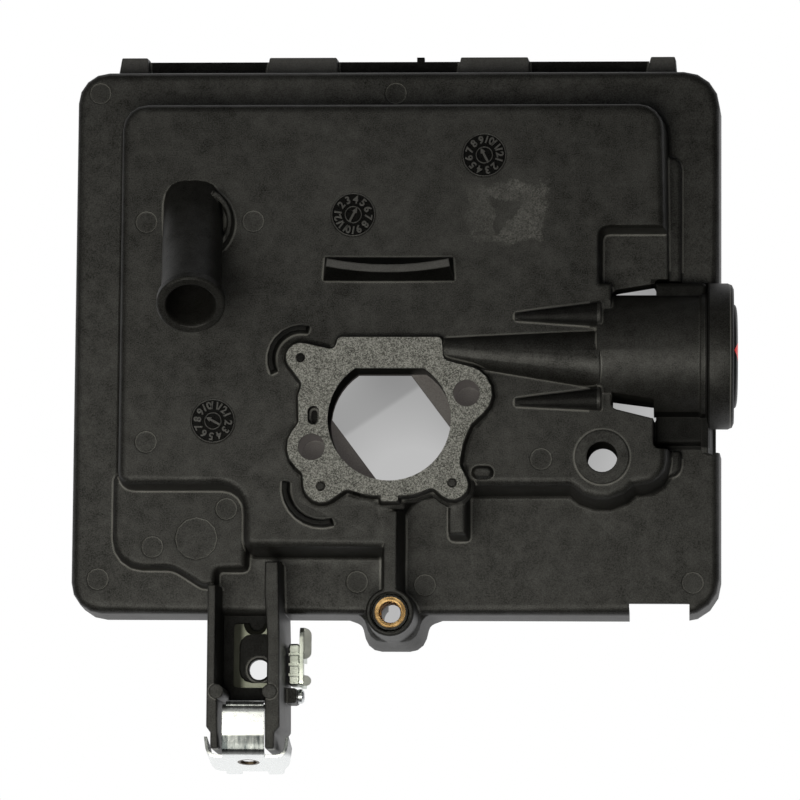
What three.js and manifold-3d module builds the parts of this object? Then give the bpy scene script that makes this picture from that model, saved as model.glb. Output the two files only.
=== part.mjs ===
// Air filter housing of a small engine: the tray behind the filter, with its intake throat, breather
// elbow, primer socket and cable bracket, and the small fittings that are fixed to it.
// Millimetres. X runs across the housing, Y up it, and Z from the open rim toward the engine.
import * as THREE from 'three';
import Module from 'manifold-3d';
import { mergeVertices } from 'three/addons/utils/BufferGeometryUtils.js';

const wasm = await Module();
wasm.setup();

// Driving sizes.

const wall = 2.4;
const past = 1; // how far a cutting tool runs past a face, and a joined form into its neighbour
const weld = 0.0001;
const leastStep = 0.001; // closer points of an outline count as one
const touchGap = 0.3; // left between a fitting and a curved or drafted seat

const tray = { halfWidth: 85, halfHeight: 72, height: 16, leftCorner: 8.2, rightCorner: 9.5 };
const trayEdge = { round: 2.2, draft: 0.5, innerRound: 1.2 };
const notch = { left: 61.4, right: 77.1, top: -68.9 };

const plateau = { top: 31, edgeRound: 2, footRound: 1, draft: 1.1, roofCurve: 1 };
const plateauFoot = [
  [-73.5, -41.5, 5.5], [-40.4, -41.5, 4.5], [-40.4, -58, 5], [2.9, -58, 4.5],
  [2.9, -42, 7.5], [73.6, -41.5, 9], [72.3, 62.8, 8.7], [-73.5, 62.8, 8.7],
];
const sideStep = { height: 3.2, right: 74.9, left: 60, bottom: -36, top: 48.5, round: 3, edge: 1 };
const lowShelf = { top: 21, edgeRound: 1.4, footFlare: 0.5 };
const lowShelfFoot = [
  [-73.5, -60.2, 13], [-57.8, -60.2, 6], [-50.2, -65, 3], [-46.4, -65, 1.2], [-46.4, -60.6, 1.2],
  [-38.5, -60.6, 1], [-38.5, -36, 1], [-73.5, -36, 1],
];

const throat = { x: -0.5, y: -22.8, radius: 16, flatTop: -9.5, shelfTop: 20.5, shelfBottom: 18.3 };
const throatSlot = { halfWidth: 11.8, turn: 36.9 };
const pad = { top: 34, margin: 0.5, edge: 0.6, foot: 1.2 };
const gasket = { thickness: 1, coreRadius: 20.3, corner: 1, neck: 1.6 };
const ears = { upper: [-23.7, -6.8, 3.8], lower: [-18.1, -40.3, 4.1], right: [15.9, -39.4, 4.2] };
const bolts = { right: [19.5, -16, 6.5], left: [-20.6, -30.1, 6.3], bore: 3.5, depth: 14 };
const gasketHead = { left: -13.9, right: 12.9, top: -1.4 };
const gasketTab = { left: -2.5, right: 1.9, bottom: -44.1, root: -42.6, round: 0.5 };
const gasketNecks = {
  head: [-14.9, -4.8], upperEar: [-23.2, -13.4], waist: [-24.2, -16.8], leftBolt: [-23.95, -23.7],
  lowerEar: [-22.8, -36.9], throatLeft: [-11.5, -40.9], throatRight: [10.9, -40.4],
  rightEar: [17.7, -34.4], rightBolt: [20.7, -24], shoulder: [13.4, -7.3],
};
const passage = { x: -20.2, y: -21.8, width: 3, height: 5, depth: 3 };
const peg = { radius: 1, height: 1.5, clearance: 0.3 };

const earRibs = [
  { around: [-23.7, -6.8], radius: 7.9, from: 78, to: 205 },
  { around: [-18.1, -40.3], radius: 9.4, from: 172, to: 287 },
];
const earRib = { thickness: 1.5, top: 34.2 };
const gripRib = {
  x: -1.1, y: 16.4, radius: 80.8, spread: 11.4, thickness: 2, top: 36.4, footLow: 13.7, footHigh: 20.1,
  flare: 0.9,
};
const prong = { left: 14.7, right: 19.4, tip: -52.4, root: -38, land: 24, round: 0.9 };
const lug = { left: 20.9, right: 26.3, bottom: -37.9, top: -34.7, height: 1.5, round: 1.5 };

const elbow = {
  base: [-52.4, 29.9, 31], mouth: [-50, 3.4, 59.5], radius: 7.7, bore: 6, bead: 8.8, beadLength: 3.2,
  sink: 9, squareness: 3.4, ridge: 0.8, edge: 1,
};
const crescent = { radius: 8.9, thickness: 1.5, from: -44, to: 60, top: 35, x: -51.4, y: 29 };

const duct = {
  startX: 13.2, startY: -4.4, startRadius: 3.1, axis: 31, endX: 54, endY: -6.9, endRadius: 8.7, endAxis: 27,
};
const ductBore = { wide: 2.4, narrow: 1.4, end: 17 };
const gussets = [
  { tipX: 31.8, tipY: 4.4, low: 1.7, high: 8.3 },
  { tipX: 31.9, tipY: -18, low: -20.2, high: -14.2 },
];
const gusset = { tipHeight: 0.9, endHeight: 4.3, tipWidth: 2.2 };

const socket = {
  y: -4.5, axis: 19.5, start: 53.2, neckLength: 14.6, barrelLength: 14.2, collarLength: 6.6, skin: 1.5,
  bandLength: 2.4, band: 0.5, collarSkin: 2.1, collarRound: 1.6, bore: 14.5, boreLength: 15, ledge: 2.5,
  lipDepth: 4.2, neckBore: 11.6, neckRise: 2.1, neckBoreLength: 9.8,
};
const neckWindow = { inset: 3.8, lowLeft: 10.8, lowRight: 12.4 };
const socketRecess = { left: 54.4, bottom: 10, top: 27.3, floor: 23, corner: 1.6, right: 92, edge: 1.3 };
const socketWell = {
  left: 57.2, right: 68.1, top: 13.9, bottom: -19, slant: 1.8, fall: 2.7, round: 1.4, edge: 0.4,
};
const socketLedge = { left: 67.8, right: 81.4, bottom: -27.6, top: 14.4, height: 20, upper: 24 };
const socketPocket = { left: 68.1, right: 92, bottom: -29.5, top: 15.2, chamfer: 1.2 };
const endWall = { left: 50.8, right: 57, bottom: -24.9, top: 13.3, round: 1 };
const buttress = { thickness: 1.8, left: 80.1, low: -30, slope: 2 };
const wallRecess = { depth: 1, low: -29.3, high: 14.9 };

const bulb = { radius: 13.6, flangeThickness: 2.3, seatGap: 0.2, skirt: 3.8, rise: 1.7, skin: 1.5 };
const ring = { seatGap: 0.2, thickness: 3.6, lip: 0.4, bevel: 0.7 };

const sideHole = {
  x: 54.5, y: -32.2, bore: 3.95, land: 7, landHeight: 0.8, relief: 0.6, swell: 13.2, bottom: 14.5,
};
const coverBoss = {
  x: -0.2, y: -72.5, radius: 6.6, top: 31, flare: 1.6, bore: 4.2, thread: 3.2, funnel: 5.2,
};
const bossFillet = { reach: 13.4, root: -70.4, waist: 7.6, round: 4 };
const coverBossRib = { halfWidth: 2, top: -46, bottom: -70, draft: 1.2 };
const insert = {
  outer: 3.9, bore: 2.9, top: 29.4, bottom: 19.6, lip: 4.9, lipHeight: 0.9, groove: 0.3, grooveWidth: 1.2,
};

const railFoot = { draft: 0.55, edge: 0.5, top: 31 };
const leftRail = [
  [-47.5, -102.3, 0.6], [-46.4, -103.8, 0.6], [-46.4, -108, 0.5], [-44.2, -108, 0.5], [-44.5, -103.4, 0],
  [-44.7, -95.4, 0.5], [-45.3, -94, 0.4], [-45.3, -65.5, 0], [-47.5, -65.5, 0],
];
const rightRail = [
  [-32.2, -108, 0.5], [-29.7, -108, 0.5], [-29.7, -103.8, 0.6], [-28.4, -102.3, 0.6], [-28.6, -80, 0.6],
  [-29.2, -59.5, 0], [-32.7, -59.5, 0], [-32.7, -68, 0.6], [-31.9, -79, 0.6], [-31.9, -94, 0.4],
  [-32.4, -95.4, 0.5],
];
const posts = [[-45, -93.2], [-31.1, -93.2]];
const post = { radius: 1.9, top: 31.4, bottom: 9 };
const web = { left: -46.4, right: -30.2, top: 10.8, thickness: 2.4, front: -70.6, end: -94.6, hole: 2.7 };
const webHole = { x: -35.5, y: -86.3, rim: 3.1, rimHeight: 0.8 };
const strapBoss = { left: -29.4, right: -25.2, low: -95.4, high: -91.1, bottom: 5, top: 15, round: 0.8 };

const slotPlate = { left: -42.2, right: -33, low: -91.1, high: -74.3, thickness: 1.2, round: 1 };
const plateSlot = { left: -40.6, low: -89.8, high: -77, round: 3.2 };
const plateNotch = { x: -36.2, radius: 1.9 };

const clip = {
  sheet: 0.8, top: 26.4, left: -43.8, right: -32.8, start: -96.2, curl: 1.2, bend: -108.5, roll: 3,
  sideDrop: 3,
};
const clipBand = {
  left: -47.2, right: -28.1, ear: 4.6, flare: 0.7, corner: 2, bottom: 9.5, lean: 3.5, round: 5,
};
const clipHole = { x: -37.4, z: 18.6, radius: 2.2 };
const clipTabs = [[-44, -39.9], [-33, -28.9]];
const clipTab = { bottom: 6.4, round: 0.5 };

const clampBase = { left: -27.7, right: -24.6, low: -90.5, high: -79.6, bottom: 4, top: 13.5, round: 0.8 };
const clampGroove = { depth: 0.5, width: 0.8, count: 3 };
const clampStrap = { left: -24.6, sheet: 1.1, low: -90.9, high: -79.8, bottom: 3, top: 16.4, corner: 1.4 };
const clampLug = { top: -75.4, bottom: 8.4, root: 4.2, round: 2.8 };
const clampNotch = { low: -87.8, high: -84.2, top: 13.4 };
const clampScrew = {
  y: -93.2, z: 10, shank: 1.4, tip: 0.5, reach: 3, head: 1.9, headHeight: 1.5, dome: 0.5, key: 0.9,
  keyDepth: 0.7,
};

const flangePads = [[-76, -66.8], [-36.4, -16.2], [14.7, 34.9], [65.3, 74]];
const flange = {
  padHeight: 5, padReach: 6, barHeight: 2.4, barReach: 5, slant: 1.2, slotDepth: 2.6, slotHeight: 2,
};
const flangeNub = { x: 5.3, width: 2, reach: 6.2 };

const marks = [
  [-77.9, -63], [78, -63.5], [-9.7, -63.5], [8.1, -64.3], [-79, 66.2], [-0.5, 66.1],
];
const topMarks = [[-64.1, -28.4], [-64.7, 29.4], [-36.7, 29.6], [38.7, -32.7]];
const shelfMarks = [[-43.8, -44.9], [-63.1, -54.9]];
const dials = [[-46.6, -22.9], [-10.5, 31.3], [23.6, 47]];
const mark = { radius: 2.9, depth: 0.25, line: 0.35 };
const dial = { radius: 5.8, depth: 0.35, line: 0.5, hub: 2.6 };
const shelfMark = { x: -51.6, y: -52.7, radius: 5.6 };

const sealRib = { width: 1.5, height: 2.2, round: 9 };
const sealRibBox = { left: -75.6, right: 76.4, bottom: -62.4, top: 65.2 };
const stiffener = { thickness: 1.6, drop: 9 };
const filterStops = [[-79.6, 30], [-79.6, -30], [79.8, 44], [79.8, -48]];
const filterStop = { length: 9, reach: 3, height: 8 };

// Shares of other sizes, and counts.

const curveShares = [0, 0.34, 0.68, 1];
const fineCurveShares = [0, 0.125, 0.25, 0.375, 0.5, 0.625, 0.75, 0.875, 1];
const edgeShare = 0.495; // how much of an edge one rounded corner may take
const leastRadiusShare = 0.02;
const fullRoundShare = 0.98; // a slot's corners, just short of meeting
const footShare = 0.7; // how far the foot radius has run in at half its height
const edgeMidShare = 0.3; // where the middle of a rounded edge lies
const bossSkirtShare = 0.9;
const grooveShares = [0.3, 0.55];
const roundPower = 2;
const gussetPower = 0.5; // how square the gussets' backs are
// Along the elbow: share of its length, the power that sets how square it is, and the ridge's share.
const elbowStationShares = [[0.3, 3.4, 1], [0.42, 2.6, 1], [0.56, roundPower, 0]];
const facets = { large: 40, medium: 28, bore: 22, small: 18, tiny: 12, hexagon: 6 };
const arcSteps = { wide: 8, middle: 6, tight: 4 };

// Shaping helpers.

const degrees = (angle) => THREE.MathUtils.degToRad(angle);

// Rounded outline: corners are [x, y, radius] anticlockwise; grow moves the whole outline outward.
function roundedOutline(corners, grow = 0) {
  const count = corners.length;
  const edges = corners.map((corner, i) => {
    const next = corners[(i + 1) % count];
    const along = new THREE.Vector2(next[0] - corner[0], next[1] - corner[1]).normalize();
    const start = new THREE.Vector2(corner[0] + along.y * grow, corner[1] - along.x * grow);
    return { start, along };
  });
  const points = edges.map((after, i) => {
    const before = edges[(i + count - 1) % count];
    const reach = after.start.clone().sub(before.start).cross(after.along) / before.along.cross(after.along);
    return before.start.clone().addScaledVector(before.along, reach);
  });
  return corners.flatMap(([, , radius], i) => {
    const before = edges[(i + count - 1) % count].along;
    const after = edges[i].along;
    const edgeBefore = points[i].distanceTo(points[(i + count - 1) % count]);
    const edgeAfter = points[i].distanceTo(points[(i + 1) % count]);
    const room = Math.min(edgeBefore, edgeAfter) * edgeShare;
    return cornerArc(points[i], before, after, radius, before.cross(after) > 0 ? grow : -grow, room);
  });
}

// The arc that rounds one corner; its ends stay within the room that the neighbouring edges give.
function cornerArc(point, before, after, radius, grow, room) {
  if (radius === 0) return [point];
  const bend = Math.abs(before.angleTo(after));
  const half = Math.tan(bend / 2);
  const size = Math.min(Math.max(radius + grow, radius * leastRadiusShare), room / half);
  const steps = Math.max(2, Math.round((bend / Math.PI) * cornerSteps(radius)));
  const start = point.clone().addScaledVector(before, -size * half);
  const side = Math.sign(before.cross(after));
  const centre = start.clone().add(new THREE.Vector2(-before.y, before.x).multiplyScalar(side * size));
  return Array.from({ length: steps + 1 }, (_, step) => (
    start.clone().rotateAround(centre, (side * bend * step) / steps)));
}

function cornerSteps(radius) {
  if (radius > trayEdge.round + past) return arcSteps.wide;
  return radius > past ? arcSteps.middle : arcSteps.tight;
}

// Corners that wrap a circle between two angles, for use inside a rounded outline.
function lobe([x, y, radius], from, to, count = 3) {
  const half = degrees(to - from) / count / 2;
  return Array.from({ length: count }, (_, i) => {
    const angle = degrees(from) + half * (2 * i + 1);
    const reach = radius / Math.cos(half);
    return [x + reach * Math.cos(angle), y + reach * Math.sin(angle), radius];
  });
}

function circle(x, y, radius, count) {
  return Array.from({ length: count }, (_, i) => {
    const angle = (2 * Math.PI * i) / count;
    return new THREE.Vector2(x + radius * Math.cos(angle), y + radius * Math.sin(angle));
  });
}

// A closed solid through a run of flat rings that all have the same number of points.
function loft(allRings) {
  const apart = (ring, i) => ring[i].distanceTo(ring[(i + 1) % ring.length]) > leastStep;
  const kept = allRings[0].map((_, i) => allRings.every((ring) => apart(ring, i)));
  const rings = allRings.map((ring) => ring.filter((_, i) => kept[i]));
  const count = rings[0].length;
  const faces = [];
  for (let level = 0; level < rings.length - 1; level++) {
    for (let i = 0; i < count; i++) {
      const a = level * count + i;
      const b = level * count + ((i + 1) % count);
      faces.push(a, b, b + count, a, b + count, a + count);
    }
  }
  faces.push(...capFaces(rings[0], 0, true));
  faces.push(...capFaces(rings.at(-1), (rings.length - 1) * count, false));
  const geometry = new THREE.BufferGeometry().setFromPoints(rings.flat());
  geometry.setIndex(faces);
  return geometry;
}

function capFaces(ring, offset, flip) {
  const normal = ringNormal(ring);
  const right = ring[1].clone().sub(ring[0]).normalize();
  const up = normal.clone().cross(right);
  const flat = ring.map((p) => new THREE.Vector2(p.dot(right), p.dot(up)));
  return THREE.ShapeUtils.triangulateShape(flat, []).flatMap(([a, b, c]) => {
    const area = flat[b].clone().sub(flat[a]).cross(flat[c].clone().sub(flat[a]));
    const order = area > 0 !== flip ? [a, b, c] : [a, c, b];
    return order.map((index) => index + offset);
  });
}

function ringNormal(ring) {
  const normal = new THREE.Vector3();
  ring.forEach((p, i) => {
    const q = ring[(i + 1) % ring.length];
    normal.add(p.clone().cross(q));
  });
  return normal.normalize();
}

// An upright block: levels are [z, grow] from bottom to top.
function block(corners, levels) {
  return solid(loft(levels.map(([z, grow]) => raised(roundedOutline(corners, grow), z))));
}

const raised = (outline, z) => outline.map((p) => new THREE.Vector3(p.x, p.y, z));

// Levels of a quarter-round edge that ends at the top face.
function roundTop(top, radius, grow = 0, shares = curveShares) {
  return shares.map((share) => {
    const angle = (share * Math.PI) / 2;
    return [top - radius + radius * Math.sin(angle), grow - radius + radius * Math.cos(angle)];
  });
}

function rectangle(left, right, bottom, top, radius = 0) {
  return [[left, bottom, radius], [right, bottom, radius], [right, top, radius], [left, top, radius]];
}

function box(left, right, front, back, bottom, top) {
  const geometry = new THREE.BoxGeometry(right - left, back - front, top - bottom);
  geometry.translate((left + right) / 2, (front + back) / 2, (bottom + top) / 2);
  return solid(geometry);
}

// Turned solid: profile is [radius, height] from the axis round to the axis, along +Z.
function turned(profile, count, x = 0, y = 0) {
  const geometry = new THREE.LatheGeometry(profile.map(([r, h]) => new THREE.Vector2(r, h)), count);
  geometry.rotateX(Math.PI / 2);
  geometry.translate(x, y, 0);
  return solid(geometry);
}

function disc(x, y, radius, bottom, top, count = facets.small) {
  return solid(loft([bottom, top].map((z) => raised(circle(x, y, radius, count), z))));
}

// Turned solid whose axis runs along +X through a height above the rim.
function turnedAcross(profile, count, y, z) {
  const geometry = new THREE.LatheGeometry(profile.map(([r, h]) => new THREE.Vector2(r, h)), count);
  geometry.rotateZ(-Math.PI / 2);
  geometry.translate(0, y, z);
  return solid(geometry);
}

function ringAcross(x, y, z, radius, count) {
  return circle(y, z, radius, count).map((p) => new THREE.Vector3(x, p.x, p.y));
}

// A manifold solid from any closed geometry, whichever way round its faces run.
function solid(geometry) {
  const bare = new THREE.BufferGeometry();
  bare.setAttribute('position', geometry.attributes.position);
  bare.setIndex(geometry.index);
  const merged = mergeVertices(bare, weld);
  const faces = wholeFaces(merged);
  const insideOut = signedVolume(merged, faces) < 0;
  const triVerts = new Uint32Array(faces.flatMap(([a, b, c]) => (insideOut ? [a, c, b] : [a, b, c])));
  const vertProperties = new Float32Array(merged.attributes.position.array);
  return new wasm.Manifold(new wasm.Mesh({ numProp: 3, vertProperties, triVerts }));
}

// Faces whose three corners are still apart once close points have been merged.
function wholeFaces(geometry) {
  const faces = [];
  for (let i = 0; i < geometry.index.count; i += 3) {
    const face = [0, 1, 2].map((k) => geometry.index.getX(i + k));
    if (new Set(face).size === 3) faces.push(face);
  }
  return faces;
}

function signedVolume(geometry, faces) {
  const at = geometry.attributes.position;
  return faces.reduce((sum, face) => {
    const [a, b, c] = face.map((index) => new THREE.Vector3().fromBufferAttribute(at, index));
    return sum + a.dot(b.cross(c));
  }, 0);
}

const join = (...solids) => solids.flat().reduce((whole, piece) => whole.add(piece));
const cut = (whole, ...tools) => tools.flat().reduce((rest, tool) => rest.subtract(tool), whole);

function geometryOf(manifold) {
  const mesh = manifold.getMesh();
  const geometry = new THREE.BufferGeometry();
  geometry.setAttribute('position', new THREE.BufferAttribute(new Float32Array(mesh.vertProperties), 3));
  geometry.setIndex(new THREE.BufferAttribute(new Uint32Array(mesh.triVerts), 1));
  const split = geometry.toNonIndexed();
  split.computeVertexNormals();
  return split;
}

// An upright rib that follows an arc, with its foot spread by the flare.
function arcRib([x, y], radius, thickness, from, to, bottom, top, flare = 0, shares = fineCurveShares) {
  const point = (reach, share) => {
    const angle = degrees(from + (to - from) * share);
    return [x + reach * Math.cos(angle), y + reach * Math.sin(angle), 0];
  };
  const outer = shares.map((share) => point(radius + thickness / 2, share));
  const inner = shares.map((share) => point(radius - thickness / 2, share)).reverse();
  return block([...outer, ...inner], [[bottom, flare], [top - thickness / 3, 0], [top, -thickness / 5]]);
}

// The moulding's main forms.

function trayCorners() {
  const { halfWidth, halfHeight, leftCorner, rightCorner } = tray;
  return [
    [-halfWidth, -halfHeight, leftCorner], [halfWidth, -halfHeight, rightCorner],
    [halfWidth, halfHeight, rightCorner], [-halfWidth, halfHeight, leftCorner],
  ];
}

function trayForm() {
  return block(trayCorners(), [[0, trayEdge.draft], ...roundTop(tray.height, trayEdge.round)]);
}

function trayHollow() {
  const floor = tray.height - wall;
  const levels = roundTop(floor, trayEdge.innerRound, -wall);
  return block(trayCorners(), [[-past, trayEdge.draft - wall], ...levels]);
}

// The plateau's wall rises from a small foot radius, leans in with the draft and ends in a round edge.
function plateauLevels() {
  const { top, edgeRound, footRound, draft } = plateau;
  const foot = tray.height;
  return [
    [foot - past, 0], [foot, 0], [foot + footRound / 2, -footRound * footShare],
    [foot + footRound, -footRound],
    ...roundTop(top, edgeRound, -footRound - draft),
  ];
}

function plateauForm() {
  const foot = block(plateauFoot, plateauLevels());
  const swell = block(lobe([sideHole.x, sideHole.y, sideHole.swell], 0, 360, 6), plateauLevels());
  return join(foot, swell);
}

function plateauHollow() {
  const { top, footRound, draft, roofCurve } = plateau;
  const floor = tray.height - wall;
  const roof = top - wall;
  const inset = wall + footRound;
  const levels = [[floor - past, -inset], [floor, -inset], ...roundTop(roof, roofCurve, -inset - draft)];
  return block(plateauFoot, levels);
}

function sideStepForm() {
  const { height, left, right, bottom, top, round, edge } = sideStep;
  const levels = [[tray.height - past, 0], ...roundTop(tray.height + height, edge)];
  return block(rectangle(left, right, bottom, top, round), levels);
}

function lowShelfForm() {
  const { top, edgeRound, footFlare } = lowShelf;
  return block(lowShelfFoot, [
    [tray.height - past, footFlare], [tray.height, footFlare], ...roundTop(top, edgeRound)]);
}

function lowShelfHollow() {
  const roof = lowShelf.top - wall;
  return block(lowShelfFoot, [[tray.height - wall - past, -wall], [roof, -wall - trayEdge.draft]]);
}

// Throat, gasket pad and bolts.

// The gasket's edge, anticlockwise from its head: three ears, two bolt lobes, a tab and the necks between.
function gasketOutline() {
  const { left, right, top } = gasketHead;
  const { corner, neck, coreRadius } = gasket;
  const core = [throat.x, throat.y, coreRadius];
  const inner = [throat.x, throat.y, coreRadius - corner / 2];
  const at = ([x, y]) => [x, y, neck];
  return [
    [right, top, corner], [left, top, corner], at(gasketNecks.head), ...lobe(ears.upper, 75, 210),
    at(gasketNecks.upperEar), at(gasketNecks.waist), at(gasketNecks.leftBolt),
    ...lobe(bolts.left, 140, 232, 2), at(gasketNecks.lowerEar), ...lobe(ears.lower, 165, 310),
    at(gasketNecks.throatLeft), ...lobe(core, 246, 262, 1), ...gasketTabCorners(),
    ...lobe(core, 278, 298, 1), at(gasketNecks.throatRight), ...lobe(ears.right, 232, 375),
    at(gasketNecks.rightEar), ...lobe(inner, -24, -10, 1), at(gasketNecks.rightBolt),
    ...lobe(bolts.right, -50, 84), at(gasketNecks.shoulder),
  ];
}

function gasketTabCorners() {
  const { left, right, bottom, root, round } = gasketTab;
  return [[left, root, 0], [left, bottom, round], [right, bottom, round], [right, root, 0]];
}

function throatOutline(radius) {
  const rise = throat.flatTop - throat.y;
  const edge = Math.asin(rise / radius);
  const steps = facets.large;
  const sweep = Math.PI + 2 * edge;
  return Array.from({ length: steps + 1 }, (_, i) => {
    const angle = Math.PI - edge + (sweep * i) / steps;
    return new THREE.Vector2(throat.x + radius * Math.cos(angle), throat.y + radius * Math.sin(angle));
  });
}

function throatBore(bottom, top) {
  const outline = throatOutline(throat.radius);
  return solid(loft([raised(outline, bottom), raised(outline, top)]));
}

// The opening in the throat's shelf: the bore between two flats that run at a slant.
function throatOpening() {
  const reach = throat.radius + past;
  const { halfWidth, turn } = throatSlot;
  const slant = new THREE.BoxGeometry(2 * halfWidth, 2 * reach, 2 * reach);
  slant.rotateZ(degrees(turn));
  slant.translate(throat.x, throat.y, throat.shelfTop);
  return throatBore(throat.shelfBottom - past, throat.shelfTop + past).intersect(solid(slant));
}

function padForm() {
  const { margin, edge, foot, top } = pad;
  const bottom = plateau.top - wall / 2;
  return block(gasketOutline(), [
    [bottom, margin + foot], [plateau.top, margin + foot], [plateau.top + foot / 2, margin + edge / 2],
    [top - edge, margin], [top, margin - edge / 2]]);
}

function throatNeck() {
  const outer = throat.radius + wall;
  return disc(throat.x, throat.y, outer, throat.shelfBottom, plateau.top - wall / 2, facets.large);
}

function boltBosses() {
  const bottom = pad.top - bolts.depth - wall;
  const top = plateau.top - wall / 2;
  return [bolts.right, bolts.left].map(([x, y]) => disc(x, y, bolts.bore + wall, bottom, top));
}

function boltBores() {
  const floor = pad.top - bolts.depth;
  return [bolts.right, bolts.left].map(([x, y]) => disc(x, y, bolts.bore, floor, pad.top + past));
}

const pegPlaces = () => [ears.upper, ears.lower, ears.right];

function pegForms() {
  const top = pad.top + peg.height;
  return pegPlaces().map(([x, y]) => disc(x, y, peg.radius, pad.top - past, top, facets.tiny));
}

function slotOutline(x, low, high, radius, margin = 0) {
  const reach = radius + margin;
  return rectangle(x - reach, x + reach, low - reach, high + reach, reach * fullRoundShare);
}

function passageTool(bottom, top) {
  const radius = passage.width / 2;
  const half = passage.height / 2 - radius;
  return block(slotOutline(passage.x, passage.y - half, passage.y + half, radius), [[bottom, 0], [top, 0]]);
}

// Ribs on the plateau.

function earRibForms() {
  const bottom = plateau.top - past;
  return earRibs.map(({ around, radius, from, to }) => (
    arcRib(around, radius, earRib.thickness, from, to, bottom, earRib.top, earRib.thickness / 4)));
}

// The finger rib curves along its top and stands on a straight foot.
function gripRibForm() {
  const { x, y, radius, spread, thickness, top, footLow, footHigh, flare } = gripRib;
  const point = (reach, share) => {
    const angle = degrees(270 - spread + 2 * spread * share);
    return new THREE.Vector2(x + reach * Math.cos(angle), y + radius + reach * Math.sin(angle));
  };
  const low = fineCurveShares.map((share) => point(radius + thickness / 2, share));
  const high = fineCurveShares.map((share) => point(radius - thickness / 2, share));
  const widen = (p, level) => new THREE.Vector2(p.x + ((p.x - x) / point(radius, 1).x) * flare, level);
  const crest = [...low, ...high.reverse()];
  const foot = crest.map((p, i) => widen(p, i < low.length ? footLow : footHigh));
  return solid(loft([
    raised(foot, plateau.top - past), raised(foot, plateau.top), raised(crest, top - thickness / 4),
    raised(crest, top)]));
}

function prongForm() {
  const { left, right, tip, root, land, round } = prong;
  const side = [[left, tip, round], [right, tip, round / 2], [right, root, 0], [left, root, 0]];
  return block(side, [
    [tray.height - past, past / 2], [land, 0], ...roundTop(plateau.top, plateau.footRound)]);
}

function lugForm() {
  const { left, right, bottom, top, height, round } = lug;
  return block(rectangle(left, right, bottom, top, round), [
    [plateau.top - past, past / 2], [plateau.top + height / 2, 0], [plateau.top + height, -height / 2]]);
}

// Breather elbow.

function elbowAxis() {
  const base = new THREE.Vector3(...elbow.base);
  const mouth = new THREE.Vector3(...elbow.mouth);
  const along = mouth.clone().sub(base);
  const length = along.length();
  return { base, along: along.normalize(), length };
}

// One ring across the elbow; a higher power makes it squarer, as it is where it leaves the plateau.
function elbowRing(distance, radius, power, count, ridge = 0) {
  const { base, along } = elbowAxis();
  const centre = base.clone().addScaledVector(along, distance);
  const side = new THREE.Vector3(1, 0, 0);
  const back = along.clone().cross(side).normalize();
  const across = back.clone().cross(along).normalize();
  return Array.from({ length: count }, (_, i) => {
    const angle = (2 * Math.PI * i) / count;
    const cos = Math.cos(angle);
    const sin = Math.sin(angle);
    const reach = radius / (Math.abs(cos) ** power + Math.abs(sin) ** power) ** (1 / power);
    const crest = i === count / 4 ? ridge : 0;
    return centre.clone().addScaledVector(across, reach * cos).addScaledVector(back, (reach + crest) * sin);
  });
}

function elbowForm() {
  const { length } = elbowAxis();
  const { radius, sink, squareness, bead, beadLength, ridge, edge } = elbow;
  const beadStart = length - beadLength;
  const stations = [
    [-sink, radius, squareness, 0],
    ...elbowStationShares.map(([share, power, crest]) => [length * share, radius, power, ridge * crest]),
    [beadStart - edge, radius, roundPower, 0], [beadStart, bead - edge / 2, roundPower, 0],
    [beadStart + edge / 2, bead, roundPower, 0], [length - edge / 2, bead, roundPower, 0],
    [length, bead - edge / 2, roundPower, 0],
  ];
  const rings = stations.map(([at, r, power, crest]) => elbowRing(at, r, power, facets.medium, crest));
  return solid(loft(rings));
}

function elbowBore() {
  const { length } = elbowAxis();
  const { bore, sink } = elbow;
  const stations = [[-sink - past, bore], [length - past, bore], [length + past / 2, bore + past]];
  return solid(loft(stations.map(([at, r]) => elbowRing(at, r, roundPower, facets.bore))));
}

function crescentForm() {
  const { radius, thickness, from, to, top, x, y } = crescent;
  return arcRib([x, y], radius, thickness, from, to, plateau.top - past, top, thickness / 5);
}

// Primer duct and socket.

function ductForm() {
  const { startX, startY, startRadius, endX, endY, endRadius, axis, endAxis } = duct;
  const count = facets.medium;
  return solid(loft([
    ringAcross(startX, startY, axis, startRadius, count),
    ringAcross(endX, endY, endAxis, endRadius, count)]));
}

function ductBoreForm() {
  const { startY, endY, endX, axis, endAxis } = duct;
  const { wide, narrow, end } = ductBore;
  return solid(loft([
    ringAcross(end, startY, axis, narrow, facets.tiny),
    ringAcross(endX, endY, endAxis, wide, facets.tiny),
    ringAcross(socketStations().floor + past, endY, endAxis, wide, facets.tiny)]));
}

function gussetForm({ tipX, tipY, low, high }) {
  const { tipHeight, endHeight, tipWidth } = gusset;
  const section = (x, bottom, top, height) => {
    const foot = plateau.top - past;
    const half = (top - bottom) / 2;
    const crown = curveShares.flatMap((share) => [share, 2 - share]).sort((a, b) => a - b).slice(0, -1);
    const back = crown.map((share) => {
      const angle = (share * Math.PI) / 2;
      return [bottom + half + half * Math.cos(angle), plateau.top + height * Math.sin(angle) ** gussetPower];
    });
    return [[bottom, foot], [top, foot], ...back].map(([y, z]) => new THREE.Vector3(x, y, z));
  };
  return solid(loft([
    section(tipX, tipY - tipWidth / 2, tipY + tipWidth / 2, tipHeight),
    section(socket.start + past, low, high, endHeight)]));
}

// Stations along the socket's axis, from the plateau's end wall to the collar's face.
function socketStations() {
  const { start, neckLength, barrelLength, collarLength, lipDepth, boreLength, neckBoreLength } = socket;
  const neckEnd = start + neckLength;
  const collarStart = neckEnd + barrelLength;
  const collarEnd = collarStart + collarLength;
  const seat = collarEnd - lipDepth;
  const boreStart = seat - boreLength;
  return { neckEnd, collarStart, collarEnd, seat, boreStart, floor: boreStart - neckBoreLength };
}

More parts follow.
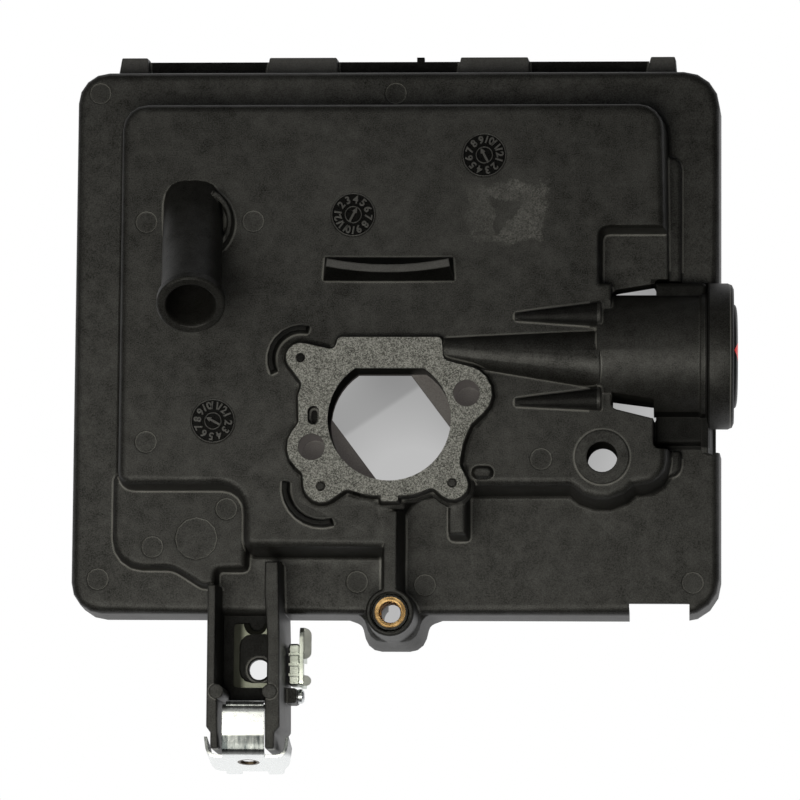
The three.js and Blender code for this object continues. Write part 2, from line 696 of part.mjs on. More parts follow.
function socketRadii() {
  const mouth = socket.bore + socket.ledge;
  return { barrel: socket.bore + socket.skin, mouth, collar: mouth + socket.collarSkin };
}

// A rod along X about the socket's axis.
const socketRod = (profile, count = facets.large) => turnedAcross(profile, count, socket.y, socket.axis);

function socketForm() {
  const { start, band, bandLength, collarRound } = socket;
  const { collarStart, collarEnd } = socketStations();
  const { barrel, collar } = socketRadii();
  const inset = collarRound * edgeMidShare;
  const bandStart = collarStart - bandLength;
  const body = socketRod([
    [0, start], [barrel, start], [barrel, bandStart], [barrel + band, bandStart + band],
    [barrel + band, collarStart - band], [collar, collarStart], [collar, collarEnd - collarRound],
    [collar - inset, collarEnd - inset], [collar - collarRound, collarEnd], [0, collarEnd]]);
  return cut(body, neckWindowTool());
}

// Below the neck the barrel is flattened, so that the well beside it shows through.
function neckWindowTool() {
  const { inset, lowLeft, lowRight } = neckWindow;
  const { y, axis, start } = socket;
  const reach = socketRadii().barrel + past;
  const left = start + inset;
  const right = socketStations().neckEnd;
  return block([
    [left, y - reach, 0], [right, y - reach, 0], [right, y - lowRight, 0], [left, y - lowLeft, 0],
  ], [[axis - reach, 0], [axis + reach, 0]]);
}

function socketBore() {
  const { y, axis, bore, neckBore, neckRise } = socket;
  const { floor, boreStart, seat, collarEnd } = socketStations();
  const { mouth } = socketRadii();
  const chamber = socketRod([
    [0, boreStart], [bore, boreStart], [bore, seat], [mouth, seat], [mouth, collarEnd + past],
    [0, collarEnd + past]]);
  const inner = turnedAcross([
    [0, floor], [neckBore, floor], [neckBore, boreStart + past], [0, boreStart + past]],
  facets.medium, y + neckRise, axis + neckRise);
  return join(chamber, inner);
}

// The plateau is cut away round the socket: a low shelf above it and a well that opens beside the neck.
function socketClearing() {
  const { left, right, bottom, top, floor, corner, edge } = socketRecess;
  const reach = plateau.top + past;
  const shelf = block(rectangle(left, right, bottom, top, corner), [
    [floor, 0], [plateau.top - edge, edge / 2], [plateau.top, edge], [reach, 2 * edge]]);
  const { left: from, right: to, bottom: low, top: high, chamfer } = socketPocket;
  const pocket = block(rectangle(from, to, low, high, chamfer), [[tray.height, 0], [reach, trayEdge.draft]]);
  return [shelf, pocket];
}

function socketWellForm() {
  const { left, right, top, bottom, slant, fall, round, edge } = socketWell;
  const outline = [
    [left, bottom, round], [right, bottom - fall, edge], [right, top, edge], [left, top - slant, round]];
  return block(outline, [[-past, 0], [plateau.top + past, trayEdge.draft]]);
}

// The tray's wall is let in beside the collar.
function wallRecessTool() {
  const { depth, low, high } = wallRecess;
  return box(tray.halfWidth - depth, tray.halfWidth + wall, low, high, -past, tray.height + past);
}

// Solid ground that the clearing is cut from, so that the cleared surfaces keep the wall's thickness.
function socketGround() {
  const { left, right, bottom, top } = socketGroundLimits;
  return block(rectangle(left, right, bottom, top, past), [
    [tray.height - wall, 0], [plateau.top - wall / 2, 0]]).intersect(plateauForm());
}

const socketGroundLimits = {
  left: endWall.left, right: tray.halfWidth, bottom: socketPocket.bottom - wall,
  top: socketRecess.top + wall,
};

function socketGroundHollow() {
  const { left, right, bottom, top } = socketGroundLimits;
  const outer = right - 2 * wall - sideStep.edge;
  const space = block(rectangle(left + wall, outer, socketRecess.bottom, top - wall, past), [
    [tray.height - wall - past, 0], [socketRecess.floor - wall, 0]]);
  return cut(space, box(left, right, bottom, socketWell.top + wall, 0, plateau.top));
}

function socketLedgeForm() {
  const { left, right, bottom, top, height, upper } = socketLedge;
  const lower = block(rectangle(left, right, bottom, socket.y, plateau.footRound), [
    [tray.height - wall, 0], ...roundTop(height, plateau.footRound)]);
  const higher = block(rectangle(left, right, socket.y, top, plateau.footRound), [
    [tray.height - wall, 0], ...roundTop(upper, plateau.footRound)]);
  return join(lower, higher);
}

function endWallForm() {
  const { left, right, bottom, top, round } = endWall;
  const levels = [[tray.height - wall, 0], ...roundTop(plateau.top, round)];
  return block(rectangle(left, right, bottom, top, round), levels);
}

function buttressForm() {
  const { thickness, left, low, slope } = buttress;
  const lean = (x, z) => [
    new THREE.Vector3(x, low, z), new THREE.Vector3(x + thickness, low, z),
    new THREE.Vector3(x + thickness, socket.y, z), new THREE.Vector3(x, socket.y, z)];
  return solid(loft([lean(left + slope, tray.height - wall), lean(left, socket.axis + thickness)]));
}

// Bosses.

function sideHoleLand() {
  const { x, y, land, landHeight } = sideHole;
  const top = plateau.top + landHeight;
  return disc(x, y, land, plateau.top - past, top, facets.medium);
}

function sideHoleBoss() {
  const { x, y, land, relief, bottom } = sideHole;
  return disc(x, y, land - relief, bottom, plateau.top - wall / 2, facets.medium);
}

function sideHoleBore() {
  const { x, y, bore, landHeight } = sideHole;
  return disc(x, y, bore, -past, plateau.top + landHeight + past, facets.medium);
}

// The cover screw's boss stands outside the tray's wall, which flares out round its foot.
function coverBossForm() {
  const { x, y, radius, top, flare } = coverBoss;
  const barrel = turned([
    [0, 0], [radius + flare, 0], [radius + flare / 2, tray.height / 2], [radius, tray.height],
    [radius - flare / 5, top - flare / 3], [radius - flare / 2, top], [0, top]], facets.medium, x, y);
  const { reach, root, waist, round } = bossFillet;
  const front = radius * bossSkirtShare;
  const skirt = block([
    [x - reach, root, 0], [x - waist, y, round], [x - waist + flare, y - radius, front],
    [x + waist - flare, y - radius, front], [x + waist, y, round], [x + reach, root, 0],
  ], [
    [0, flare], [tray.height - trayEdge.round, 0], [tray.height - trayEdge.round / 3, -trayEdge.round / 2]]);
  return join(barrel, skirt);
}

function coverBossRibForm() {
  const { halfWidth, top, bottom, draft } = coverBossRib;
  const { x } = coverBoss;
  return block(rectangle(x - halfWidth, x + halfWidth, bottom, top), [
    [tray.height - past, draft], [plateau.top - plateau.footRound, 0],
    [plateau.top, -plateau.footRound / 2]]);
}

function coverBossBore() {
  const { x, y, bore, thread, funnel, top } = coverBoss;
  const seat = insert.bottom - touchGap;
  const ledge = insert.top - insert.lipHeight - touchGap;
  return turned([
    [0, -past], [thread, -past], [thread, seat], [bore, seat], [bore, ledge], [funnel, ledge],
    [funnel, top + past], [0, top + past]], facets.medium, x, y);
}

// Bracket rails.

function railForm(corners) {
  const { draft, edge, top } = railFoot;
  return block(corners, [[0, draft], [top - edge, 0], [top, -edge / 2]]);
}

function postForms() {
  return posts.map(([x, y]) => disc(x, y, post.radius, post.bottom, post.top, facets.small));
}

function webForm() {
  const { left, right, top, thickness, front, end } = web;
  return box(left, right, end, front, top - thickness, top);
}

function strapBossForm() {
  const { left, right, low, high, bottom, top, round } = strapBoss;
  return block(rectangle(left, right, low, high, round), [[bottom, 0], [top, -round / 4]]);
}

function bracketForm() {
  const [from, to] = [strapBoss.left - wall, strapBoss.right + past];
  const radius = clampScrew.shank + touchGap;
  const holes = [
    disc(webHole.x, webHole.y, web.hole, 0, web.top + past),
    turnedAcross([[0, from], [radius, from], [radius, to], [0, to]], facets.tiny, clampScrew.y, clampScrew.z),
  ];
  const rim = disc(webHole.x, webHole.y, webHole.rim, web.top - past, web.top + webHole.rimHeight);
  const rails = [railForm(leftRail), railForm(rightRail)];
  return cut(join(...rails, webForm(), rim, strapBossForm(), postForms()), holes);
}

// Front flange, notch and filter side.

function flangeForms() {
  const { padHeight, padReach, barHeight, barReach, slant } = flange;
  const root = tray.halfHeight - past;
  const [from, to] = [flangePads[0][1] - past, flangePads.at(-1)[0] + past];
  const bar = box(from, to, root, tray.halfHeight + barReach, 0, barHeight);
  const pads = flangePads.map(([left, right]) => block([
    [left, root, 0], [right, root, 0], [right - slant / 2, tray.halfHeight + padReach, slant / 2],
    [left + slant, tray.halfHeight + padReach, slant / 2]], [[0, 0], [padHeight, -slant / 4]]));
  const nub = box(flangeNub.x - flangeNub.width / 2, flangeNub.x + flangeNub.width / 2, root,
    tray.halfHeight + flangeNub.reach, 0, barHeight);
  return [bar, ...pads, nub];
}

// Each pad is open behind its outer lip, where the cover's tab hooks in.
function flangeSlots() {
  const { slotDepth, slotHeight, padReach, slant } = flange;
  const back = tray.halfHeight + padReach - wall / 2;
  return flangePads.map(([left, right]) => (
    box(left + 2 * slant, right - 2 * slant, back - slotDepth, back, -past, slotHeight + past)));
}

function notchTool() {
  const { left, right, top } = notch;
  return box(left, right, -tray.halfHeight - wall, top, -past, tray.height + past);
}

function sealRibForm() {
  const { left, right, bottom, top } = sealRibBox;
  const { width, height, round } = sealRib;
  const roof = tray.height - wall + past / 2;
  const low = tray.height - wall - height;
  const outline = rectangle(left, right, bottom, top, round);
  const inner = block(outline, [[low - past, -width], [roof + past, -width]]);
  return cut(block(outline, [[low, 0], [roof, 0]]), inner);
}

function filterStopForms() {
  const { length, reach, height } = filterStop;
  const roof = tray.height - wall + past / 2;
  return filterStops.map(([x, y]) => {
    const side = Math.sign(x);
    const edge = side * (tray.halfWidth - wall / 2);
    const inner = x + side * -reach / 3;
    const [left, right] = side < 0 ? [edge, inner] : [inner, edge];
    return box(left, right, y - length / 2, y + length / 2, roof - height, roof);
  });
}

// Stiffening ribs under the plateau's roof, from the throat's neck to the plenum's walls.
function stiffenerForms() {
  const roof = plateau.top - wall / 2;
  const low = plateau.top - wall - stiffener.drop;
  const half = stiffener.thickness / 2;
  const inner = plateauFoot[0][0] + wall;
  const back = plateauFoot.at(-1)[1] - wall;
  const ribs = [
    [inner, throat.x - throat.radius, throat.y - half, throat.y + half],
    [throat.x - half, throat.x + half, throat.y + throat.radius, back],
    [inner, endWall.left, back / 3 - half, back / 3 + half],
  ];
  return ribs.map(([left, right, front, back]) => box(left, right, front, back, low, roof));
}

// Marks left by the mould.

function ringMark(x, y, radius, line, depth, surface, count) {
  const outer = disc(x, y, radius, surface - depth, surface + past, count);
  return cut(outer, disc(x, y, radius - line, surface - depth - past, surface + 2 * past, count));
}

// Ejector pins leave shallow round dents.
function mouldMarks() {
  const { radius, depth } = mark;
  const dent = ([x, y], surface, size = radius) => (
    disc(x, y, size, surface - depth, surface + past, facets.tiny));
  const { x, y, radius: size } = shelfMark;
  return [
    ...marks.map((place) => dent(place, tray.height)), ...topMarks.map((place) => dent(place, plateau.top)),
    ...shelfMarks.map((place) => dent(place, lowShelf.top)), dent([x, y], lowShelf.top, size)];
}

function dialMarks() {
  const { radius, line, depth } = dial;
  return dials.map(([x, y]) => ringMark(x, y, radius, line, depth, plateau.top, facets.small));
}

// The pieces.

function baseHousing() {
  const shell = cut(
    join(trayForm(), plateauForm(), sideStepForm(), lowShelfForm(), coverBossForm(), flangeForms()),
    trayHollow(), plateauHollow(), lowShelfHollow());
  const plenum = join(shell, throatNeck(), boltBosses(), sideHoleBoss(), sideHoleLand(), stiffenerForms(),
    sealRibForm(), filterStopForms());
  const ground = join(plenum, cut(socketGround(), socketGroundHollow()));
  const cleared = join(cut(ground, socketClearing(), wallRecessTool()), endWallForm(), socketLedgeForm(),
    buttressForm());
  const welled = join(cut(cleared, socketWellForm()), socketForm());
  const dressed = join(welled, padForm(), earRibForms(), gripRibForm(), prongForm(), lugForm(),
    crescentForm(), elbowForm(), ductForm(), gussets.map(gussetForm), coverBossRibForm(), bracketForm());
  const bored = cut(dressed, socketBore(), ductBoreForm(), elbowBore(), sideHoleBore(), coverBossBore(),
    throatBore(throat.shelfTop, pad.top + past), throatOpening(), boltBores(), notchTool(), flangeSlots(),
    passageTool(pad.top - passage.depth, pad.top + past), mouldMarks(), dialMarks());
  return join(bored, pegForms());
}

function carburettorGasket() {
  const top = pad.top + gasket.thickness;
  const sheet = block(gasketOutline(), [[pad.top, 0], [top, 0]]);
  const [from, to] = [pad.top - past, top + past];
  const pegHole = peg.radius + peg.clearance;
  return cut(sheet, throatBore(from, to), passageTool(from, to),
    [bolts.right, bolts.left].map(([x, y]) => disc(x, y, bolts.bore, from, to)),
    pegPlaces().map(([x, y]) => disc(x, y, pegHole, from, to, facets.tiny)));
}

function coverScrewInsert() {
  const { outer, bore, top, bottom, lip, lipHeight, groove } = insert;
  const grooves = grooveShares.flatMap((share) => {
    const at = bottom + (top - bottom) * share;
    const end = at + insert.grooveWidth;
    return [[outer, at], [outer - groove, at + groove], [outer - groove, end - groove], [outer, end]];
  });
  const body = turned([
    [0, bottom], [outer - groove, bottom], [outer, bottom + groove], ...grooves, [outer, top - lipHeight],
    [lip, top - lipHeight], [lip, top - groove], [lip - groove, top], [0, top],
  ], facets.bore, coverBoss.x, coverBoss.y);
  return cut(body, disc(coverBoss.x, coverBoss.y, bore, bottom - past, top + past, facets.bore));
}

function primerBulb() {
  const { radius, flangeThickness, seatGap, skirt, rise, skin } = bulb;
  const rim = socket.bore - touchGap;
  const flangeEnd = socketStations().seat - seatGap;
  const flangeStart = flangeEnd - flangeThickness;
  const dome = (shrink) => curveShares.map((share) => {
    const angle = (share * Math.PI) / 2;
    const lift = (rise - shrink / 2) * Math.sin(angle);
    return [(radius - shrink) * Math.cos(angle), flangeEnd + skirt - shrink / 2 + lift];
  });
  const outer = [[0, flangeStart], [rim, flangeStart], [rim, flangeEnd], [radius, flangeEnd], ...dome(0)];
  const inner = [[0, flangeStart - past], [radius - skin, flangeStart - past], ...dome(skin)];
  return cut(socketRod(outer), socketRod(inner));
}

function primerRetainingRing() {
  const { seatGap, thickness, lip, bevel } = ring;
  const start = socketStations().seat + seatGap;
  const end = start + thickness;
  const rim = end - bevel;
  const outer = socketRadii().mouth - touchGap;
  const inner = bulb.radius + touchGap;
  const body = socketRod([
    [0, start], [outer, start], [outer, rim - lip], [outer - lip, rim], [inner, end], [0, end]]);
  const hole = socketRod([[0, start - past], [inner, start - past], [inner, end + past], [0, end + past]]);
  return cut(body, hole);
}

function bracketPlate() {
  const { left, right, low, high, thickness, round } = slotPlate;
  const top = web.top + thickness;
  const sheet = block(rectangle(left, right, low, high, round), [[web.top, 0], [top, 0]]);
  const reach = right + plateSlot.round + past;
  const slot = block(rectangle(plateSlot.left, reach, plateSlot.low, plateSlot.high, plateSlot.round), [
    [web.top - past, 0], [top + past, 0]]);
  return cut(sheet, slot, disc(plateNotch.x, high, plateNotch.radius, web.top - past, top + past));
}

// The clip's band wraps the fork's ends as one bent sheet; it leans outward below the bend.
function clipBandRing(z) {
  const { left, right, ear, flare, corner, bottom, lean } = clipBand;
  const y = clip.bend - lean * ((clip.top - z) / (clip.top - bottom));
  const inner = [
    [left - flare, y + ear, 0], [left, y, corner], [right, y, corner], [right + flare, y + ear, 0]];
  const outer = [
    [right + flare + clip.sheet, y + ear, 0], [right + clip.sheet, y - clip.sheet, corner + clip.sheet],
    [left - clip.sheet, y - clip.sheet, corner + clip.sheet], [left - flare - clip.sheet, y + ear, 0]];
  return raised(roundedOutline([...outer, ...inner].reverse()), z);
}

// A flat form standing on edge: corners are [x, z, radius] and it runs along Y.
function blockAlongY(corners, front, back) {
  const outline = roundedOutline(corners);
  return solid(loft([front, back].map((y) => outline.map((p) => new THREE.Vector3(p.x, y, p.y)))));
}

// The same along X: corners are [y, z, radius].
function blockAlongX(corners, left, right) {
  const outline = roundedOutline(corners);
  return solid(loft([left, right].map((x) => outline.map((p) => new THREE.Vector3(x, p.x, p.y)))));
}

// The clip's face is a strip that curls down at its inner end and rolls over the band at its outer end.
function clipStrip() {
  const { sheet, top, left, right, start, curl, bend, roll, sideDrop } = clip;
  const low = top - roll - sideDrop;
  const lean = clipBand.lean * ((top - low) / (top - clipBand.bottom));
  return blockAlongX([
    [start, top - sheet - curl, 0], [start, top - curl, curl / 2], [start - curl, top, 2 * curl],
    [bend - sheet, top, roll + sheet], [bend - sheet - lean, low, 0], [bend - lean, low, 0],
    [bend, top - sheet, roll], [start - curl, top - sheet, 2 * curl]], left, right);
}

function endClip() {
  const { sheet, top, bend, sideDrop } = clip;
  const { bottom, round, flare, ear, lean } = clipBand;
  const low = bend - lean - 2 * sheet;
  const margin = flare + 2 * sheet;
  const [from, to, roof] = [clipBand.left - margin, clipBand.right + margin, top - sideDrop];
  const band = solid(loft([clipBandRing(clipTab.bottom), clipBandRing(top)]));
  const shape = blockAlongY([
    [from, bottom, round], [to, bottom, round], [to, roof, 0], [from, roof, 0],
  ], low, bend + ear + past);
  const tabs = clipTabs.map(([near, far]) => (
    blockAlongY(rectangle(near, far, clipTab.bottom, roof, clipTab.round), low - past, bend)));
  const { x, z, radius } = clipHole;
  const hole = blockAlongY(slotOutline(x, z, z, radius), low - past, bend + past);
  return cut(join(clipStrip(), band.intersect(join(shape, tabs))), hole);
}

function cableClampBase() {
  const { left, right, low, high, bottom, top, round } = clampBase;
  const { depth, width, count } = clampGroove;
  const body = block(rectangle(left, right, low, high, round), [
    [bottom, 0], [top - round / 2, 0], [top, -round / 2]]);
  const pitch = (high - low) / (count + 1);
  const grooves = Array.from({ length: count }, (_, i) => {
    const y = low + pitch * (i + 1);
    return box(left - past, right + past, y - width / 2, y + width / 2, top - depth, top + past);
  });
  return cut(body, grooves);
}

// The strap is a flat sheet with a round lug at one end and a notch for the cable's casing.
function cableClampStrap() {
  const { left, sheet, low, high, bottom, top, corner } = clampStrap;
  const outline = [
    [low, bottom, corner], [high, bottom, corner], [high, clampLug.bottom, corner],
    [clampLug.top, clampLug.bottom, clampLug.root], [clampLug.top, top, clampLug.round],
    [low, top, corner]];
  const { low: from, high: to, top: depth } = clampNotch;
  const notchOutline = rectangle(from, to, bottom - 2 * past, depth, corner);
  const saddle = blockAlongX(notchOutline, left - past, left + sheet + past);
  return cut(blockAlongX(outline, left, left + sheet), saddle);
}

function cableClampScrew() {
  const { y, z, shank, tip, head, headHeight, dome, reach, key, keyDepth } = clampScrew;
  const seat = strapBoss.right;
  const end = seat + headHeight;
  const body = turnedAcross([
    [0, seat - reach], [shank - tip, seat - reach], [shank, seat - reach + tip], [shank, seat], [head, seat],
    [head, end - dome], [head - dome, end], [0, end]], facets.small, y, z);
  return cut(body, turnedAcross([
    [0, end - keyDepth], [key, end - keyDepth], [key, end + past], [0, end + past]], facets.hexagon, y, z));
}

// Finishes and assembly.

const finishes = {
  blackNylon: { color: 0x2f2e2b, roughness: 0.62, metalness: 0 },
  gasketPaper: { color: 0x83827a, roughness: 0.9, metalness: 0 },
  brass: { color: 0xc9a15c, roughness: 0.32, metalness: 1 },
  blackRubber: { color: 0x242424, roughness: 0.5, metalness: 0 },
  blackRing: { color: 0x33322f, roughness: 0.4, metalness: 0 },
  platedSteel: { color: 0xc5c9a9, roughness: 0.3, metalness: 1 },
  zinc: { color: 0xdfe1e0, roughness: 0.25, metalness: 1 },
};

function piece(name, manifold, finish) {
  const mesh = new THREE.Mesh(geometryOf(manifold), new THREE.MeshStandardMaterial(finishes[finish]));
  mesh.name = name;
  return mesh;
}

const housing = new THREE.Group();
housing.name = 'air_filter_housing';
housing.add(
  piece('base_housing', baseHousing(), 'blackNylon'),
  piece('carburettor_gasket', carburettorGasket(), 'gasketPaper'),
  piece('cover_screw_insert', coverScrewInsert(), 'brass'),
  piece('primer_bulb', primerBulb(), 'blackRubber'),
  piece('primer_retaining_ring', primerRetainingRing(), 'blackRing'),
  piece('bracket_plate', bracketPlate(), 'platedSteel'),
  piece('end_clip', endClip(), 'zinc'),
  piece('cable_clamp_base', cableClampBase(), 'platedSteel'),
  piece('cable_clamp_strap', cableClampStrap(), 'platedSteel'),
  piece('cable_clamp_screw', cableClampScrew(), 'zinc'),
);

// The origin is the middle of the bounding box's lower face.
const bounds = new THREE.Box3().setFromObject(housing);
const middle = bounds.getCenter(new THREE.Vector3());
housing.position.set(-middle.x, -middle.y, -bounds.min.z);

export default housing;
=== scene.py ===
import math
import bpy
import bmesh
from mathutils import Euler, Matrix, Vector


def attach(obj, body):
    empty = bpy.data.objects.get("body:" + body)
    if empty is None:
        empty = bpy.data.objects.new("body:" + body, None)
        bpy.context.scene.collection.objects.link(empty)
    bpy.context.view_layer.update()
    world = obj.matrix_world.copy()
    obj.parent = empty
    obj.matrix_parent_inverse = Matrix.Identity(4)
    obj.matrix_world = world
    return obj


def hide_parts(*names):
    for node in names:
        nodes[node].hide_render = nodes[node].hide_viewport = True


# The looks of a small engine's air filter housing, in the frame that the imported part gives.
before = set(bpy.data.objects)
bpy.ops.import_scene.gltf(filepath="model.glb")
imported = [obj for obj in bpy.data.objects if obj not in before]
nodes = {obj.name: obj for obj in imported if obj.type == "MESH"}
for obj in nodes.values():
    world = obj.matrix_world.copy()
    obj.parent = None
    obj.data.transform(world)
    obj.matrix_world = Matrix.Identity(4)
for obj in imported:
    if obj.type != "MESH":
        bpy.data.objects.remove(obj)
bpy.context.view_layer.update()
print("frame in, nodes:", len(nodes))

# Sizes below are in millimetres from the middle of the tray; at() puts them into the frame.
tray = {"x": -2.1, "y": 17.621, "plateau": 31}


def at(x, y, z):
    return Vector(((x + tray["x"]) / 1000, (y + tray["y"]) / 1000, z / 1000))


def mm(value):
    return value / 1000


# materials

def newShader(name):
    mat = bpy.data.materials.new(name)
    mat.use_nodes = True
    return mat, mat.node_tree


def shaderOf(tree):
    return tree.nodes["Principled BSDF"]


def addNode(tree, kind, **values):
    node = tree.nodes.new(kind)
    for key, value in values.items():
        setattr(node, key, value)
    return node


def places(tree):
    return addNode(tree, "ShaderNodeTexCoord").outputs["Object"]


def addNoise(tree, vector, scale, detail=3.0, rough=0.5):
    node = addNode(tree, "ShaderNodeTexNoise")
    node.inputs["Scale"].default_value = scale
    node.inputs["Detail"].default_value = detail
    node.inputs["Roughness"].default_value = rough
    tree.links.new(vector, node.inputs["Vector"])
    return node.outputs["Fac"]


def remap(tree, value, low, high, toLow=0.0, toHigh=1.0, smooth=False):
    node = addNode(tree, "ShaderNodeMapRange")
    if smooth:
        node.interpolation_type = "SMOOTHSTEP"
    for index, number in zip((1, 2, 3, 4), (low, high, toLow, toHigh)):
        node.inputs[index].default_value = number
    tree.links.new(value, node.inputs[0])
    return node.outputs[0]


def addMath(tree, operation, first, second=None, clamp=False):
    node = addNode(tree, "ShaderNodeMath", operation=operation, use_clamp=clamp)
    for socket, value in zip(node.inputs, (first, second)):
        if value is None:
            continue
        if isinstance(value, (int, float)):
            socket.default_value = value
        else:
            tree.links.new(value, socket)
    return node.outputs[0]


def plus(tree, first, second, clamp=False):
    return addMath(tree, "ADD", first, second, clamp)


def minus(tree, first, second):
    return addMath(tree, "SUBTRACT", first, second)


def times(tree, first, second, clamp=False):
    return addMath(tree, "MULTIPLY", first, second, clamp)


def larger(tree, first, second):
    return addMath(tree, "MAXIMUM", first, second)


def over(tree, first, second):
    return addMath(tree, "GREATER_THAN", first, second)


def under(tree, first, second):
    return addMath(tree, "LESS_THAN", first, second)


def axesOf(tree, vector):
    split = addNode(tree, "ShaderNodeSeparateXYZ")
    tree.links.new(vector, split.inputs[0])
    return split.outputs


def mixColours(tree, factor, first, second):
    node = addNode(tree, "ShaderNodeMix", data_type="RGBA")
    for name, value in (("Factor", factor), ("A", first), ("B", second)):
        sockets = [s for s in node.inputs if s.name == name and (name == "Factor" or s.type == "RGBA")]
        socket = sockets[0]
        if isinstance(value, (int, float)):
            socket.default_value = value
        elif isinstance(value, tuple):
            socket.default_value = (*value, 1)
        else:
            tree.links.new(value, socket)
    return [s for s in node.outputs if s.type == "RGBA"][0]


def roundedNormal(tree, radius):
    # radius in millimetres
    node = addNode(tree, "ShaderNodeBevel", samples=4)
    node.inputs["Radius"].default_value = mm(radius)
    return node.outputs[0]


def addBump(tree, height, strength, depth, normal=None):
    # depth in millimetres
    node = addNode(tree, "ShaderNodeBump")
    node.inputs["Strength"].default_value = strength
    node.inputs["Distance"].default_value = mm(depth)
    tree.links.new(height, node.inputs["Height"])
    if normal is not None:
        tree.links.new(normal, node.inputs["Normal"])
    return node.outputs[0]


def finishLook(tree, base, rough, bump):
    bsdf = shaderOf(tree)
    tree.links.new(base, bsdf.inputs["Base Color"])
    tree.links.new(rough, bsdf.inputs["Roughness"])
    tree.links.new(bump, bsdf.inputs["Normal"])


def edgeWear(tree, rounded):
    # how far the rounded normal turns away from the flat one shows where an edge is
    geometry = addNode(tree, "ShaderNodeNewGeometry")
    dot = addNode(tree, "ShaderNodeVectorMath", operation="DOT_PRODUCT")
    tree.links.new(rounded, dot.inputs[0])
    tree.links.new(geometry.outputs["True Normal"], dot.inputs[1])
    return remap(tree, dot.outputs["Value"], 0.995, 0.8)


# cloud, patch, grain and the like are noises: scale, detail and roughness
nylon = {
    "dark": (0.0085, 0.0082, 0.0072), "light": (0.021, 0.0202, 0.0180), "edge": 0.6,
    "cloud": (30, 5, 0.6), "patch": (240, 4, 0.65), "grain": (3100, 3, 0.65),
    "paleHighlight": (0.19, 0.187, 0.175), "paleHighlightShare": 0.8, "mouthHighlightShare": 0.75,
    "shaded": (0.002, 0.002, 0.002), "shadedShare": 0.75,
    "paleTone": (0.075, 0.073, 0.073), "crestShare": 0.8, "ridgeHighlightShare": 0.35,
}
# corners run anticlockwise on the plateau
scuff = {
    "corners": ((22.1, 23.0), (38.5, 25.1), (41.0, 33.8), (40.2, 40.1), (22.0, 39.6), (18.9, 37.2),
                (18.4, 31.2)),
    "streak": ((18.6, 35.0), (24.0, 36.0), (21.5, 41.0), (15.8, 43.2)),
    "wedge": ((26.7, 25.4), (34.5, 34.6), (25.4, 35.9)),
    "colour": (0.13, 0.128, 0.121), "faint": 21.5, "full": 30.0, "sway": 2.1, "edge": (210, 7, 0.72),
    "wear": (2500, 3, 0.7), "clouds": (280, 4, 0.65),
}
dust = {"scale": 85, "size": 0.02, "share": 0.2, "colour": (0.5, 0.49, 0.46)}


def insideCorners(tree, vector, corners):
    # millimetres to the nearest side, more than zero inside
    reach = None
    for first, second in zip(corners, corners[1:] + corners[:1]):
        side = (Vector(second) - Vector(first)).normalized()
        inward = Vector((-side.y, side.x, 0))
        dot = addNode(tree, "ShaderNodeVectorMath", operation="DOT_PRODUCT")
        tree.links.new(vector, dot.inputs[0])
        dot.inputs[1].default_value = inward
        gap = minus(tree, dot.outputs["Value"], inward.dot(at(*first, 0)))
        reach = gap if reach is None else addMath(tree, "MINIMUM", reach, gap)
    return times(tree, reach, 1000)


def scuffMask(tree, vector):
    # the outline wanders to and fro by up to the sway, in millimetres
    sway = remap(tree, addNoise(tree, vector, *scuff["edge"]), 0.3, 0.7, -scuff["sway"], scuff["sway"])
    outer = plus(tree, insideCorners(tree, vector, scuff["corners"]), sway)
    streak = plus(tree, insideCorners(tree, vector, scuff["streak"]), sway)
    wedge = plus(tree, insideCorners(tree, vector, scuff["wedge"]), times(tree, sway, 0.6))
    patch = remap(tree, outer, -0.8, 1.1, 0, 1, True)
    seen = larger(tree, patch, remap(tree, streak, -0.8, 1.6, 0, 0.5, True))
    seen = times(tree, seen, remap(tree, wedge, 0.1, 0.4, 1, 0.03, True))
    paleTone = remap(tree, addNoise(tree, vector, *scuff["wear"]), 0.38, 0.64, 0.1, 1)
    cloudy = remap(tree, addNoise(tree, vector, *scuff["clouds"]), 0.34, 0.62, 0.3, 1)
    # the patch is rubbed hardest toward the socket
    across = axesOf(tree, vector)[0]
    side = remap(tree, across, at(scuff["faint"], 0, 0).x, at(scuff["full"], 0, 0).x, 0.45, 1, True)
    return times(tree, seen, times(tree, times(tree, paleTone, cloudy), side))


def dustMask(tree, vector):
    # a few bright specks, one here and there
    cells = addNode(tree, "ShaderNodeTexVoronoi")
    cells.inputs["Scale"].default_value = dust["scale"]
    tree.links.new(vector, cells.inputs["Vector"])
    pick = addNode(tree, "ShaderNodeSeparateColor")
    tree.links.new(cells.outputs["Color"], pick.inputs[0])
    chosen = under(tree, pick.outputs[0], dust["share"])
    return times(tree, under(tree, cells.outputs["Distance"], dust["size"]), chosen)


# occlusion in this band marks a fillet, where the face doesn't stand upright
fillet = {"reach": 1.1, "opens": (0.87, 0.75), "closes": (0.46, 0.58), "level": (0.25, 0.7)}


def creaseMask(tree):
    # the moulded fillets at the foot of walls and ribs are smoother, and a thin pale line is painted on them
    # as a painted highlight
    near = addNode(tree, "ShaderNodeAmbientOcclusion", samples=8, only_local=True)
    near.inputs["Distance"].default_value = mm(fillet["reach"])
    geometry = addNode(tree, "ShaderNodeNewGeometry")
    upward = axesOf(tree, geometry.outputs["True Normal"])[2]
    band = times(tree, remap(tree, near.outputs["AO"], *fillet["opens"], smooth=True),
                 remap(tree, near.outputs["AO"], *fillet["closes"], smooth=True))
    return times(tree, band, remap(tree, upward, *fillet["level"], smooth=True))
